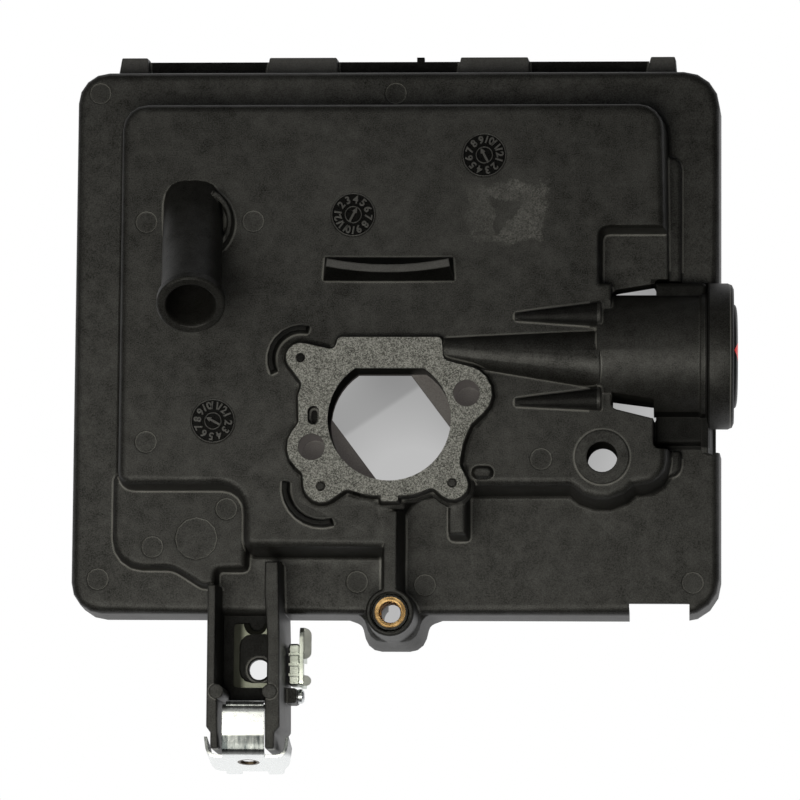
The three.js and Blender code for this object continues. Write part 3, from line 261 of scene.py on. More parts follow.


# places painted in shade, and places painted paler, each as a low and a high corner
paintedShadePlaces = {
    "gripSides": ((-20, 12, 31.4), (18, 21, 35.7)),
    "bracketWeb": ((-46.4, -95, 8), (-30.2, -71.5, 12.2)),
    "airPassage": ((-22.5, -26, 29), (-18, -18, 34.6)),
    "flangeBar": ((-76, 72.4, -1), (76, 80, 3.4)),
    "lowLedge": ((67, -28.6, 13), (82.4, -19, 24.6)),
    "highLedge": ((67, 7, 13), (82.4, 15.4, 24.6)),
    "collarSeam": ((81.2, -24, 10), (82.3, 15, 40)),
    "highGusset": ((30, 1.6, 31.9), (53.2, 8.8, 40)),
    "lowGusset": ((30, -20.6, 31.9), (53.2, -14.1, 40)),
    "mouthEdge": ((87.9, -25, 8), (88.8, 16, 40)),
    "upperPeg": ((-25.2, -8.3, 33), (-22.2, -5.3, 36)),
}
palePlaces = {
    "gripCrest": ((-20, 12, 35.9), (18, 21, 37)),
    "flangePads": ((-76, 72.4, 4.2), (76, 80, 6)),
}
# painted highlight: a pale line round the socket's mouth
mouthHighlightLine = ((87.5, -25, 8), (87.85, 16, 40))  # the thin bright line round the socket's mouth
# places with no painted fillet highlight
plainPlaces = {
    "collarSeam": ((81.0, -24, 10), (82.6, 15, 40)),
    "lowLedge": ((66.2, -31, 12), (86, -18.6, 25)),
    "highLedge": ((66.2, 7, 12), (86, 18, 25)),
    "bracketLeft": ((-46.6, -95, 8), (-42.3, -66, 16.4)),
    "bracketTop": ((-46.6, -74.2, 8), (-30.2, -66, 16.4)),
    "highGussetEnd": ((51.2, 1.6, 17), (54, 8.8, 40)),
    "lowGussetEnd": ((51.2, -20.6, 17), (54, -14.1, 40)),
}
earArcs = {"low": 31.6, "high": 34.4, "wide": 1.0, "spots": ((-23.7, -6.8, 7.9), (-18.1, -40.3, 9.4))}


def insideBox(tree, vector, low, high):
    shift = addNode(tree, "ShaderNodeMapping", vector_type="TEXTURE")
    shift.inputs["Location"].default_value = (at(*low) + at(*high)) / 2
    shift.inputs["Scale"].default_value = (at(*high) - at(*low)) / 2
    tree.links.new(vector, shift.inputs["Vector"])
    size = addNode(tree, "ShaderNodeVectorMath", operation="ABSOLUTE")
    tree.links.new(shift.outputs[0], size.inputs[0])
    across, along, up = axesOf(tree, size.outputs[0])
    most = larger(tree, larger(tree, across, along), up)
    return under(tree, most, 1)


def insideAny(tree, vector, boxes):
    found = None
    for low, high in boxes.values():
        inside = insideBox(tree, vector, low, high)
        found = inside if found is None else larger(tree, found, inside)
    return found


def flatDistance(tree, vector, x, y):
    across, along, up = axesOf(tree, vector)
    flat = addNode(tree, "ShaderNodeCombineXYZ")
    gap = addNode(tree, "ShaderNodeVectorMath", operation="DISTANCE")
    tree.links.new(across, flat.inputs[0])
    tree.links.new(along, flat.inputs[1])
    tree.links.new(flat.outputs[0], gap.inputs[0])
    gap.inputs[1].default_value = at(x, y, 0)
    return times(tree, gap.outputs["Value"], 1000)


# painted shade on the raised arcs round two spots by the ears
def arcMask(tree, vector):
    height = axesOf(tree, vector)[2]
    found = None
    for x, y, radius in earArcs["spots"]:
        off = addMath(tree, "ABSOLUTE", minus(tree, flatDistance(tree, vector, x, y), radius))
        inside = under(tree, off, earArcs["wide"])
        found = inside if found is None else larger(tree, found, inside)
    raised = times(tree, over(tree, height, mm(earArcs["low"])), under(tree, height, mm(earArcs["high"])))
    return times(tree, found, raised)


# painted light: the shelf inside the throat and the two bolt bores are painted paler and browner than the
# rest, and glow a little
deepLitFaces = {
    "low": 19.6, "colour": (0.05, 0.045, 0.042), "paintedGlow": (0.040, 0.036, 0.034),
    "spots": ((-0.5, -22.8, 16.2, 20.8), (19.5, -16.0, 3.7, 33.8), (-20.6, -30.1, 3.7, 33.8)),
}


def deepMask(tree, vector):
    height = axesOf(tree, vector)[2]
    inside = None
    for x, y, radius, top in deepLitFaces["spots"]:
        around = under(tree, flatDistance(tree, vector, x, y), radius)
        near = times(tree, around, under(tree, height, mm(top)))
        inside = near if inside is None else larger(tree, inside, near)
    return times(tree, inside, over(tree, height, mm(deepLitFaces["low"])))


def nylonColour(tree, vector, tone, paintedShade, paleHighlight, rounded):
    base = mixColours(tree, tone, nylon["dark"], nylon["light"])
    # painted highlight along the fillets
    base = mixColours(tree, times(tree, paleHighlight, nylon["paleHighlightShare"]), base, nylon["paleHighlight"])
    # painted shade in the shade places
    base = mixColours(tree, times(tree, paintedShade, nylon["shadedShare"]), base, nylon["shaded"])
    # painted highlight on the edges of the shade places, in the paler tone that the crests and pads also get
    ridgeHighlight = times(tree, times(tree, paintedShade, edgeWear(tree, rounded)), nylon["ridgeHighlightShare"])
    crest = times(tree, insideAny(tree, vector, palePlaces), nylon["crestShare"])
    base = mixColours(tree, larger(tree, crest, ridgeHighlight), base, nylon["paleTone"])
    # painted highlight round the socket's mouth
    mouthHighlight = times(tree, insideBox(tree, vector, *mouthHighlightLine), nylon["mouthHighlightShare"])
    base = mixColours(tree, mouthHighlight, base, nylon["paleHighlight"])
    base = mixColours(tree, scuffMask(tree, vector), base, scuff["colour"])
    return mixColours(tree, dustMask(tree, vector), base, dust["colour"])


def nylonShine(tree, cloud, patch, grain, paintedShade):
    shine = plus(tree, remap(tree, grain, 0.32, 0.68, 0.2, 0.72), remap(tree, patch, 0.3, 0.7, -0.12, 0.12))
    shine = plus(tree, shine, remap(tree, cloud, 0.3, 0.7, -0.1, 0.1))
    return times(tree, shine, remap(tree, paintedShade, 0, 1, 1, 0.3))


def blackNylon():
    mat, tree = newShader("blackNylon")
    bsdf = shaderOf(tree)
    vector = places(tree)
    cloud, patch, grain = (addNoise(tree, vector, *nylon[key]) for key in ("cloud", "patch", "grain"))
    rounded = roundedNormal(tree, nylon["edge"])
    plain = insideAny(tree, vector, plainPlaces)
    paleHighlight = times(tree, creaseMask(tree), minus(tree, 1, plain))
    paintedShade = larger(tree, insideAny(tree, vector, paintedShadePlaces), arcMask(tree, vector))
    paintedShade = times(tree, paintedShade, minus(tree, 1, paleHighlight))
    tone = plus(tree, remap(tree, cloud, 0.3, 0.7, 0, 0.4), remap(tree, grain, 0.3, 0.7, 0, 0.4))
    tone = plus(tree, tone, remap(tree, patch, 0.35, 0.65, 0, 0.2), clamp=True)
    base = nylonColour(tree, vector, tone, paintedShade, paleHighlight, rounded)
    # painted light on the deep faces, in their colour and a small glow
    deepLit = deepMask(tree, vector)
    base = mixColours(tree, deepLit, base, deepLitFaces["colour"])
    tree.links.new(mixColours(tree, deepLit, (0, 0, 0), deepLitFaces["paintedGlow"]), bsdf.inputs["Emission Color"])
    bsdf.inputs["Emission Strength"].default_value = 1
    tree.links.new(nylonShine(tree, cloud, patch, grain, paintedShade), bsdf.inputs["Specular IOR Level"])
    rough = plus(tree, remap(tree, cloud, 0.3, 0.7, 0.43, 0.52), remap(tree, grain, 0.3, 0.7, -0.05, 0.07))
    rough = minus(tree, rough, times(tree, paleHighlight, 0.14))
    finishLook(tree, base, rough, addBump(tree, grain, 0.4, 0.1, rounded))
    return mat


gasketLook = {
    "dark": (0.05, 0.05, 0.045), "light": (0.50, 0.50, 0.475), "speck": (2900, 3, 0.8),
    "felt": (260, 4, 0.6), "shine": 0.25, "rough": (0.95, 0.7), "edge": 0.15,
}


def gasketFibre():
    mat, tree = newShader("gasketFibre")
    vector = places(tree)
    speck = addNoise(tree, vector, *gasketLook["speck"])
    felt = addNoise(tree, vector, *gasketLook["felt"])
    cloth = remap(tree, felt, 0.35, 0.65, 0, 0.15)
    tone = plus(tree, remap(tree, speck, 0.42, 0.62, 0, 0.85), cloth, clamp=True)
    base = mixColours(tree, tone, gasketLook["dark"], gasketLook["light"])
    shaderOf(tree).inputs["Specular IOR Level"].default_value = gasketLook["shine"]
    rough = remap(tree, speck, 0.3, 0.7, *gasketLook["rough"])
    finishLook(tree, base, rough, addBump(tree, speck, 0.5, 0.1, roundedNormal(tree, gasketLook["edge"])))
    return mat


# the dial's floor is dark and smooth, its raised figures are glossier and painted paler as a painted
# highlight
dialLook = {
    "floor": (0.003, 0.003, 0.003), "litFigures": (0.085, 0.083, 0.08), "speck": (0.012, 0.012, 0.011),
    "grain": (2100, 3, 0.6), "shine": (0.12, 0.75), "rough": (0.24, 0.36), "edge": 0.22, "above": 0.12,
}


def dialPlastic():
    mat, tree = newShader("dialPlastic")
    vector = places(tree)
    fine = addNoise(tree, vector, *dialLook["grain"])
    raised = over(tree, axesOf(tree, vector)[2], mm(tray["plateau"] + dialLook["above"]))
    base = mixColours(tree, raised, dialLook["floor"], dialLook["litFigures"])
    base = mixColours(tree, remap(tree, fine, 0.3, 0.7, 0, 0.3), base, dialLook["speck"])
    shine = remap(tree, raised, 0, 1, *dialLook["shine"])
    tree.links.new(shine, shaderOf(tree).inputs["Specular IOR Level"])
    rough = remap(tree, fine, 0.3, 0.7, *dialLook["rough"])
    finishLook(tree, base, rough, addBump(tree, fine, 0.2, 0.06, roundedNormal(tree, dialLook["edge"])))
    return mat


# smooth plastic, rubber and paint: the mottle gives tone and gloss, the grain the fine bumps
plainLooks = {
    "ringPlastic": {"dark": (0.008, 0.008, 0.0075), "light": (0.018, 0.017, 0.016), "mottle": (1900, 3, 0.6),
                    "spread": (0.3, 0.7), "rough": (0.3, 0.42), "shine": 0.5, "paintedGlow": 0,
                    "grain": (1900, 3, 0.6), "bump": 0.15, "edge": 0.2},
    "bulbRubber": {"dark": (0.005, 0.005, 0.005), "light": (0.012, 0.012, 0.011), "mottle": (90, 4, 0.6),
                   "spread": (0.35, 0.7), "rough": (0.34, 0.5), "shine": 0.12, "paintedGlow": 0,
                   "grain": (2600, 2, 0.5), "bump": 0.2, "edge": 0},
    # the red mark glows, a painted light that keeps it bright in the collar's shade
    "bulbMarkRed": {"dark": (0.42, 0.012, 0.01), "light": (0.72, 0.03, 0.02), "mottle": (1400, 3, 0.6),
                    "spread": (0.35, 0.65), "rough": (0.3, 0.5), "shine": 0.5, "paintedGlow": 0.7,
                    "grain": (1400, 3, 0.6), "bump": 0.2, "edge": 0},
}


def plainShader(name):
    look = plainLooks[name]
    mat, tree = newShader(name)
    bsdf = shaderOf(tree)
    vector = places(tree)
    mottle = addNoise(tree, vector, *look["mottle"])
    grain = addNoise(tree, vector, *look["grain"])
    base = mixColours(tree, remap(tree, mottle, *look["spread"]), look["dark"], look["light"])
    bsdf.inputs["Specular IOR Level"].default_value = look["shine"]
    # painted light: a look with a glow emits its own colour
    if look["paintedGlow"]:
        tree.links.new(base, bsdf.inputs["Emission Color"])
        bsdf.inputs["Emission Strength"].default_value = look["paintedGlow"]
    rounded = roundedNormal(tree, look["edge"]) if look["edge"] else None
    rough = remap(tree, mottle, 0.3, 0.7, *look["rough"])
    finishLook(tree, base, rough, addBump(tree, grain, look["bump"], 0.05, rounded))
    return mat


# the bracket plate is painted dark where it lies in the left rail's shade, and painted black round its notch
# as a painted shadow
plateShade = {
    "start": -40.6, "end": -38.8, "notchX": -36.5, "notchY": -74.3, "notch": 3.1,
    "colour": (0.006, 0.006, 0.005),
}
metals = {
    "platedSheet": {"dull": (0.14, 0.15, 0.115), "bright": (0.30, 0.31, 0.26), "rough": (0.36, 0.52),
                    "grain": 700, "stretch": (8, 1, 1), "shade": plateShade},
    "clampSteel": {"dull": (0.50, 0.54, 0.48), "bright": (0.82, 0.86, 0.80), "rough": (0.26, 0.42),
                   "grain": 1100, "stretch": (1, 1, 4)},
    "lipSteel": {"dull": (0.62, 0.64, 0.60), "bright": (0.88, 0.90, 0.86), "rough": (0.5, 0.62),
                 "grain": 1100, "stretch": (1, 1, 1)},
    "screwZinc": {"dull": (0.62, 0.65, 0.66), "bright": (0.9, 0.92, 0.92), "rough": (0.22, 0.36),
                  "grain": 900, "stretch": (1, 1, 1)},
}


def stretchedNoise(tree, vector, stretch, scale):
    mapping = addNode(tree, "ShaderNodeMapping")
    mapping.inputs["Scale"].default_value = stretch
    tree.links.new(vector, mapping.inputs["Vector"])
    return addNoise(tree, mapping.outputs[0], scale, 4, 0.6)


def metalShader(name):
    look = metals[name]
    mat, tree = newShader(name)
    vector = places(tree)
    grain = stretchedNoise(tree, vector, look["stretch"], look["grain"])
    stain = addNoise(tree, vector, 160, 4, 0.6)
    base = mixColours(tree, remap(tree, stain, 0.3, 0.7), look["dull"], look["bright"])
    if "shade" in look:
        shade = look["shade"]
        across = axesOf(tree, vector)[0]
        dim = remap(tree, across, at(shade["start"], 0, 0).x, at(shade["end"], 0, 0).x, 0.9, 0, True)
        notchShadow = under(tree, flatDistance(tree, vector, shade["notchX"], shade["notchY"]), shade["notch"])
        base = mixColours(tree, larger(tree, dim, notchShadow), base, shade["colour"])
    shaderOf(tree).inputs["Metallic"].default_value = 1
    rough = remap(tree, stain, 0.3, 0.7, *look["rough"])
    rough = plus(tree, rough, remap(tree, grain, 0.3, 0.7, -0.04, 0.06))
    finishLook(tree, base, rough, addBump(tree, grain, 0.12, 0.05, roundedNormal(tree, 0.2)))
    return mat


# painted light and shade: the clip's sheet is near white with a painted glow, and painted blue grey shade
# where it curls, where it bends over the fork's end and on its ears
clipShadeBands = {
    "curl": {"start": -94.9, "full": -95.8, "until": -96.4, "end": -98.8, "most": 0.9},
    "bend": {"start": -103.7, "full": -104.6, "until": -107.9, "end": -109.6, "most": 1.0},
}
clipEarShade = {"left": -44.6, "right": -31.2, "front": -107.2, "most": 0.8}
clipEyeShade = {"x": -37.4, "z": 18.6, "reach": 2.9, "colour": (0.10, 0.075, 0.05)}
clipSheet = {"bright": (0.90, 0.92, 0.92), "grey": (0.035, 0.042, 0.045), "paintedGlow": (0.16, 0.165, 0.165)}


def clipBend(tree, across, along):
    bentShade = None
    for band in clipShadeBands.values():
        start, full, until, end = (at(0, band[key], 0).y for key in ("start", "full", "until", "end"))
        inside = times(tree, remap(tree, along, start, full, 0, band["most"], True),
                       remap(tree, along, end, until, 0, 1, True))
        bentShade = inside if bentShade is None else larger(tree, bentShade, inside)
    earShade = larger(tree, under(tree, across, at(clipEarShade["left"], 0, 0).x),
                  over(tree, across, at(clipEarShade["right"], 0, 0).x))
    earShade = times(tree, earShade, over(tree, along, at(0, clipEarShade["front"], 0).y))
    return larger(tree, bentShade, times(tree, earShade, clipEarShade["most"]))


def clipEyeMask(tree, across, up):
    # painted shade: a dark brown disc round the hole in the clip's apron
    upright = addNode(tree, "ShaderNodeCombineXYZ")
    gap = addNode(tree, "ShaderNodeVectorMath", operation="DISTANCE")
    tree.links.new(across, upright.inputs[0])
    tree.links.new(up, upright.inputs[2])
    tree.links.new(upright.outputs[0], gap.inputs[0])
    gap.inputs[1].default_value = (at(clipEyeShade["x"], 0, 0).x, 0, mm(clipEyeShade["z"]))
    return under(tree, gap.outputs["Value"], mm(clipEyeShade["reach"]))


def clipZinc():
    mat, tree = newShader("clipZinc")
    bsdf = shaderOf(tree)
    vector = places(tree)
    fine = addNoise(tree, vector, 900, 3, 0.6)
    stripes = remap(tree, stretchedNoise(tree, vector, (9, 1, 1), 130), 0.3, 0.6, 0.75, 1)
    across, along, up = axesOf(tree, vector)
    bentShade = times(tree, clipBend(tree, across, along), stripes)
    eyeShade = clipEyeMask(tree, across, up)
    base = mixColours(tree, bentShade, clipSheet["bright"], clipSheet["grey"])
    base = mixColours(tree, eyeShade, base, clipEyeShade["colour"])
    glowCut = times(tree, larger(tree, bentShade, eyeShade), 1.6, True)
    # painted light: the sheet glows where it isn't painted in shade
    tree.links.new(mixColours(tree, glowCut, clipSheet["paintedGlow"], (0, 0, 0)), bsdf.inputs["Emission Color"])
    bsdf.inputs["Emission Strength"].default_value = 1
    bsdf.inputs["Metallic"].default_value = 0.8
    rough = remap(tree, fine, 0.3, 0.7, 0.24, 0.34)
    finishLook(tree, base, rough, addBump(tree, fine, 0.08, 0.05, roundedNormal(tree, 0.2)))
    return mat


# the insert's face is bright brass out to the counterbore, and painted near black, not metal, outside it
insertFace = {
    "x": -0.2, "y": -72.5, "reach": 4.0, "dark": (0.42, 0.25, 0.10), "light": (0.70, 0.47, 0.22),
    "outside": (0.010, 0.010, 0.009), "rings": 420,
}


def insertBrass():
    mat, tree = newShader("insertBrass")
    vector = places(tree)
    turned = addNode(tree, "ShaderNodeTexWave", wave_type="RINGS", rings_direction="Z")
    turned.inputs["Scale"].default_value = insertFace["rings"]
    turned.inputs["Distortion"].default_value = 1.5
    moved = addNode(tree, "ShaderNodeMapping", vector_type="TEXTURE")
    moved.inputs["Location"].default_value = at(insertFace["x"], insertFace["y"], 0)
    tree.links.new(vector, moved.inputs["Vector"])
    tree.links.new(moved.outputs[0], turned.inputs["Vector"])
    stain = addNoise(tree, vector, 300, 4, 0.6)
    base = mixColours(tree, remap(tree, stain, 0.3, 0.7), insertFace["dark"], insertFace["light"])
    off = flatDistance(tree, vector, insertFace["x"], insertFace["y"])
    outside = over(tree, off, insertFace["reach"])
    base = mixColours(tree, outside, base, insertFace["outside"])
    tree.links.new(minus(tree, 1, outside), shaderOf(tree).inputs["Metallic"])
    rough = remap(tree, stain, 0.3, 0.7, 0.2, 0.34)
    bump = addBump(tree, turned.outputs["Fac"], 0.15, 0.04, roundedNormal(tree, 0.3))
    finishLook(tree, base, rough, bump)
    return mat


materials = {
    "nylon": blackNylon(), "gasket": gasketFibre(), "rubber": plainShader("bulbRubber"),
    "red": plainShader("bulbMarkRed"), "brass": insertBrass(), "plated": metalShader("platedSheet"),
    "clamp": metalShader("clampSteel"), "lips": metalShader("lipSteel"), "zinc": clipZinc(),
    "screw": metalShader("screwZinc"), "ring": plainShader("ringPlastic"), "dial": dialPlastic(),
}
print("materials ready:", ", ".join(materials))


# The solids come in faceted, so weld them and shade the shallow bends smooth.
bends = {
    "base_housing": 36, "end_clip": 24, "bracket_plate": 24, "cable_clamp_strap": 24,
    "cable_clamp_base": 24,
}


def dress(name, material):
    node = nodes[name]
    data = node.data
    data.materials.clear()
    data.materials.append(materials[material])
    if "custom_normal" in data.attributes:
        data.attributes.remove(data.attributes["custom_normal"])
    for face in data.polygons:
        face.use_smooth = True
    weld = node.modifiers.new("weldCorners", "WELD")
    weld.merge_threshold = 1e-6
    split = node.modifiers.new("keepHardEdges", "EDGE_SPLIT")
    split.split_angle = math.radians(bends.get(name, 32))
    split.use_edge_sharp = False
    node.modifiers.new("evenNormals", "WEIGHTED_NORMAL")


for name, material in {
    "base_housing": "nylon", "carburettor_gasket": "gasket", "cover_screw_insert": "brass",
    "primer_retaining_ring": "ring", "bracket_plate": "plated", "end_clip": "zinc",
    "cable_clamp_base": "clamp", "cable_clamp_strap": "clamp", "cable_clamp_screw": "screw",
}.items():
    dress(name, material)
print("frame nodes dressed")


# building helpers

def keep(mesh, name, material, body, smooth=30):
    data = bpy.data.meshes.new(name)
    bmesh.ops.recalc_face_normals(mesh, faces=mesh.faces)
    mesh.to_mesh(data)
    mesh.free()
    data.materials.append(materials[material])
    obj = bpy.data.objects.new(name, data)
    bpy.context.collection.objects.link(obj)
    for face in data.polygons:
        face.use_smooth = True
    data.set_sharp_from_angle(angle=math.radians(smooth))
    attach(obj, body)
    return obj


def fullTurn(count):
    return [2 * math.pi * i / count for i in range(count)]


def joinRings(mesh, rings):
    # faces from each closed row of points to the next
    for first, second in zip(rings, rings[1:]):
        for i in range(len(first)):
            j = (i + 1) % len(first)
            mesh.faces.new((first[i], first[j], second[j], second[i]))


def spinAcross(mesh, profile, y, z, count):
    # profile is (x, radius) from end to end, turned about a line along X
    rings = []
    for x, radius in profile:
        if radius == 0:
            rings.append([mesh.verts.new(at(x, y, z))])
            continue
        spots = [at(x, y + radius * math.cos(a), z + radius * math.sin(a)) for a in fullTurn(count)]
        rings.append([mesh.verts.new(spot) for spot in spots])
    for first, second in zip(rings, rings[1:]):
        for i in range(count):
            a, b = first[i % len(first)], first[(i + 1) % len(first)]
            c, d = second[(i + 1) % len(second)], second[i % len(second)]
            corners = list(dict.fromkeys([a, b, c, d]))
            if len(corners) > 2:
                mesh.faces.new(corners)


# primer bulb: the rubber dome with its skirt, and the painted ring on its crown
bulb = {
    "y": -4.5, "z": 19.5, "flange": 14.2, "flangeStart": 81.9, "flangeEnd": 84.2, "radius": 13.6,
    "shoulder": 88.0, "crown": 89.69, "square": 0.42, "skin": 1.5, "edge": 0.3, "lip": 0.4,
    "turns": 96, "steps": 18,
}


def domeProfile():
    rise = bulb["crown"] - bulb["shoulder"]
    square = bulb["square"]
    turns = [math.pi / 2 * i / bulb["steps"] for i in range(bulb["steps"])]
    return [(bulb["shoulder"] + rise * math.sin(a) ** square, bulb["radius"] * math.cos(a) ** square)
            for a in turns]


def makeBulb():
    mesh = bmesh.new()
    start, end, edge, flange = bulb["flangeStart"], bulb["flangeEnd"], bulb["edge"], bulb["flange"]
    skin, lip, radius, crown = bulb["skin"], bulb["lip"], bulb["radius"], bulb["crown"]
    dome = domeProfile()
    outside = [(start, flange - edge), (start + edge, flange), (end - edge, flange), (end, flange - lip),
               (end, radius), *dome, (crown, 0)]
    spinAcross(mesh, outside, bulb["y"], bulb["z"], bulb["turns"])
    lining = [(x - skin, max(r - skin, lip)) for x, r in reversed(dome)]
    hollow = [(crown - skin, 0), *lining, (start, radius - skin), (start, flange - edge)]
    spinAcross(mesh, hollow, bulb["y"], bulb["z"], bulb["turns"])
    bmesh.ops.remove_doubles(mesh, verts=mesh.verts, dist=1e-6)
    return keep(mesh, "primerBulbDome", "rubber", "bulb")


bulbDome = makeBulb()
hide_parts("primer_bulb")

bulbRing = {
    "up": 7.2, "tall": 6.35, "wide": 2.5, "band": 1.3, "rows": 12, "turns": 64,
    "proud": 1.004, "ahead": 0.008,
}


def domeSpot(up, side):
    # the point just above the dome at this height and side of its axis, in the frame
    reach = min(math.hypot(up, side), bulb["radius"] - 0.01)
    lift = math.sin(math.acos((reach / bulb["radius"]) ** (1 / bulb["square"]))) ** bulb["square"]
    x = bulb["shoulder"] + (bulb["crown"] - bulb["shoulder"]) * lift + bulbRing["ahead"]
    return at(x, bulb["y"] + side * bulbRing["proud"], bulb["z"] + up * bulbRing["proud"])


def makeBulbRing():
    # a small painted ring on the dome, below the socket's upper edge
    mesh = bmesh.new()
    rings = []
    for row in range(bulbRing["rows"] + 1):
        share = 1 - bulbRing["band"] / bulbRing["wide"] * row / bulbRing["rows"]
        tall, wide = bulbRing["tall"] * share, bulbRing["wide"] * share
        spots = [domeSpot(bulbRing["up"] + tall * math.sin(a), wide * math.cos(a))
                 for a in fullTurn(bulbRing["turns"])]
        rings.append([mesh.verts.new(spot) for spot in spots])
    joinRings(mesh, rings)
    return keep(mesh, "primerBulbRing", "red", "bulb")


makeBulbRing()
print("primer bulb made")


# the mould's date dials: twelve plain numbers and a pointer, standing a little proud of the plastic
dials = [
    {"x": -46.6, "y": -22.9, "turn": 24, "pointer": 152},
    {"x": -10.5, "y": 31.3, "turn": 171, "pointer": 62},
    {"x": 23.6, "y": 47.0, "turn": -18, "pointer": 118},
]
dialFace = {
    "rim": 5.75, "rimWide": 0.34, "rise": 0.42, "sink": 0.05, "floor": 0.02, "numbers": 3.95, "tall": 2.7,
    "bold": 0.09, "numberCount": 12, "hub": 2.3, "hubStep": 0.1, "reach": 2.1, "shaft": 0.6, "barb": 1.4,
}


def addPrism(mesh, outline, bottom, top):
    low = [mesh.verts.new(at(x, y, bottom)) for x, y in outline]
    high = [mesh.verts.new(at(x, y, top)) for x, y in outline]
    mesh.faces.new(high)
    mesh.faces.new(list(reversed(low)))
    for i in range(len(outline)):
        j = (i + 1) % len(outline)
        mesh.faces.new((low[i], low[j], high[j], high[i]))


def addBand(mesh, x, y, radius, wide, bottom, top, count=48):
    # a low ring standing on the plateau, its top narrower than its foot
    rings = []
    inner, slope = radius - wide, wide / 4
    for r, z in ((radius, bottom), (radius - slope, top), (inner + slope, top), (inner, bottom)):
        spots = [at(x + r * math.cos(a), y + r * math.sin(a), z) for a in fullTurn(count)]
        rings.append([mesh.verts.new(spot) for spot in spots])
    joinRings(mesh, rings)


def addNumber(mesh, number, x, y, turn, tall, bottom, rise):
    words = bpy.data.curves.new("dialNumber", "FONT")
    words.body = str(number)
    words.align_x = words.align_y = "CENTER"
    words.size = mm(tall)
    words.extrude = mm(rise / 2)
    words.resolution_u = 3
    words.offset = mm(dialFace["bold"])
    holder = bpy.data.objects.new("dialNumber", words)
    bpy.context.collection.objects.link(holder)
    bpy.context.view_layer.update()
    flat = holder.evaluated_get(bpy.context.evaluated_depsgraph_get()).to_mesh()
    flat.transform(Matrix.Translation(at(x, y, bottom + rise / 2)) @ Matrix.Rotation(turn, 4, "Z"))
    mesh.from_mesh(flat)
    bpy.data.objects.remove(holder)
    bpy.data.curves.remove(words)


def makeDial(index, dial):
    mesh = bmesh.new()
    face = dialFace
    low = tray["plateau"] - face["sink"]
    top = tray["plateau"] + face["rise"]
    for i in range(face["numberCount"]):
        angle = math.radians(dial["turn"] - 360 * i / face["numberCount"])
        x = dial["x"] + face["numbers"] * math.cos(angle)
        y = dial["y"] + face["numbers"] * math.sin(angle)
        addNumber(mesh, i + 1, x, y, angle - math.pi / 2, face["tall"], low, face["rise"])
    addBand(mesh, dial["x"], dial["y"], face["rim"], face["rimWide"], low, top)
    addBand(mesh, dial["x"], dial["y"], face["hub"], face["rimWide"], low, top - face["hubStep"], 32)
    reach = face["rim"] - face["rimWide"] / 2
    disc = [(dial["x"] + reach * math.cos(a), dial["y"] + reach * math.sin(a)) for a in fullTurn(48)]
    addPrism(mesh, disc, low, tray["plateau"] + face["floor"])
    turn = Matrix.Rotation(math.radians(dial["pointer"]), 2)
    tip, shaft, barb = face["reach"], face["shaft"] / 2, face["barb"] / 2
    neck = tip - face["barb"]
    pointer = ((-tip, -shaft), (neck, -shaft), (neck, -barb), (tip, 0), (neck, barb), (neck, shaft),
               (-tip, shaft))
    spots = [turn @ Vector(point) for point in pointer]
    addPrism(mesh, [(dial["x"] + p.x, dial["y"] + p.y) for p in spots], low, top)
    return keep(mesh, "dateDial" + str(index + 1), "dial", "housing", 25)


for index, dial in enumerate(dials):
    makeDial(index, dial)
print("dials made:", len(dials))


# the insert's thread, a ridge that winds up the bore
thread = {
    "x": -0.2, "y": -72.5, "root": 3.0, "crest": 2.62, "pitch": 1.0, "low": 19.8, "high": 28.6,
    "turns": 24, "crestLow": 0.38, "crestHigh": 0.52, "foot": 0.9,
}


def makeThread():
    mesh = bmesh.new()
    count, pitch, root, crest = thread["turns"], thread["pitch"], thread["root"], thread["crest"]
    total = int((thread["high"] - thread["low"] - pitch) / pitch * count)
    shape = ((root, 0), (crest, thread["crestLow"]), (crest, thread["crestHigh"]), (root, thread["foot"]))
    rows = []
    for i in range(total + 1):
        angle = 2 * math.pi * i / count
        climb = thread["low"] + pitch * i / count
        across, along = math.cos(angle), math.sin(angle)
        rows.append([mesh.verts.new(at(thread["x"] + r * across, thread["y"] + r * along, climb + h))
                     for r, h in shape])
    joinRings(mesh, rows)
    mesh.faces.new(rows[0])
    mesh.faces.new(list(reversed(rows[-1])))
    return keep(mesh, "insertThread", "brass", "housing", 40)


makeThread()
print("insert thread made")


# the clip's start curls down between the rails
clipTongue = {
    "left": -42.9, "right": -33.1, "sheet": 0.5,
    "path": ((-96.3, 25.7), (-95.9, 25.5), (-95.5, 25.0), (-95.25, 24.2), (-95.1, 23.0), (-95.1, 20.5)),
}


def makeTongue():
    mesh = bmesh.new()
    outer = [Vector(point) for point in clipTongue["path"]]
    inner = [point + Vector((-clipTongue["sheet"], -clipTongue["sheet"] / 4)) for point in outer]
    outline = outer + list(reversed(inner))
    sides = (clipTongue["left"], clipTongue["right"])
    ends = [[mesh.verts.new(at(x, p.x, p.y)) for p in outline] for x in sides]
    joinRings(mesh, ends)
    last = len(outline) - 1
    for end in ends:
        for i in range(len(outer) - 1):
            mesh.faces.new((end[i], end[i + 1], end[last - 1 - i], end[last - i]))
    return keep(mesh, "clipTongue", "zinc", "housing", 40)


makeTongue()
print("clip tongue made")


# the clamp strap's upper edge is turned out in two rounded lips, one on each side of its notch
clampLips = {
    "root": -23.5, "reach": 1.9, "top": 15.4, "sheet": 1.0, "drop": 0.7, "corner": 1.8, "steps": 6,
    "spans": ((-83.7, -75.6), (-90.7, -88.0)),
}


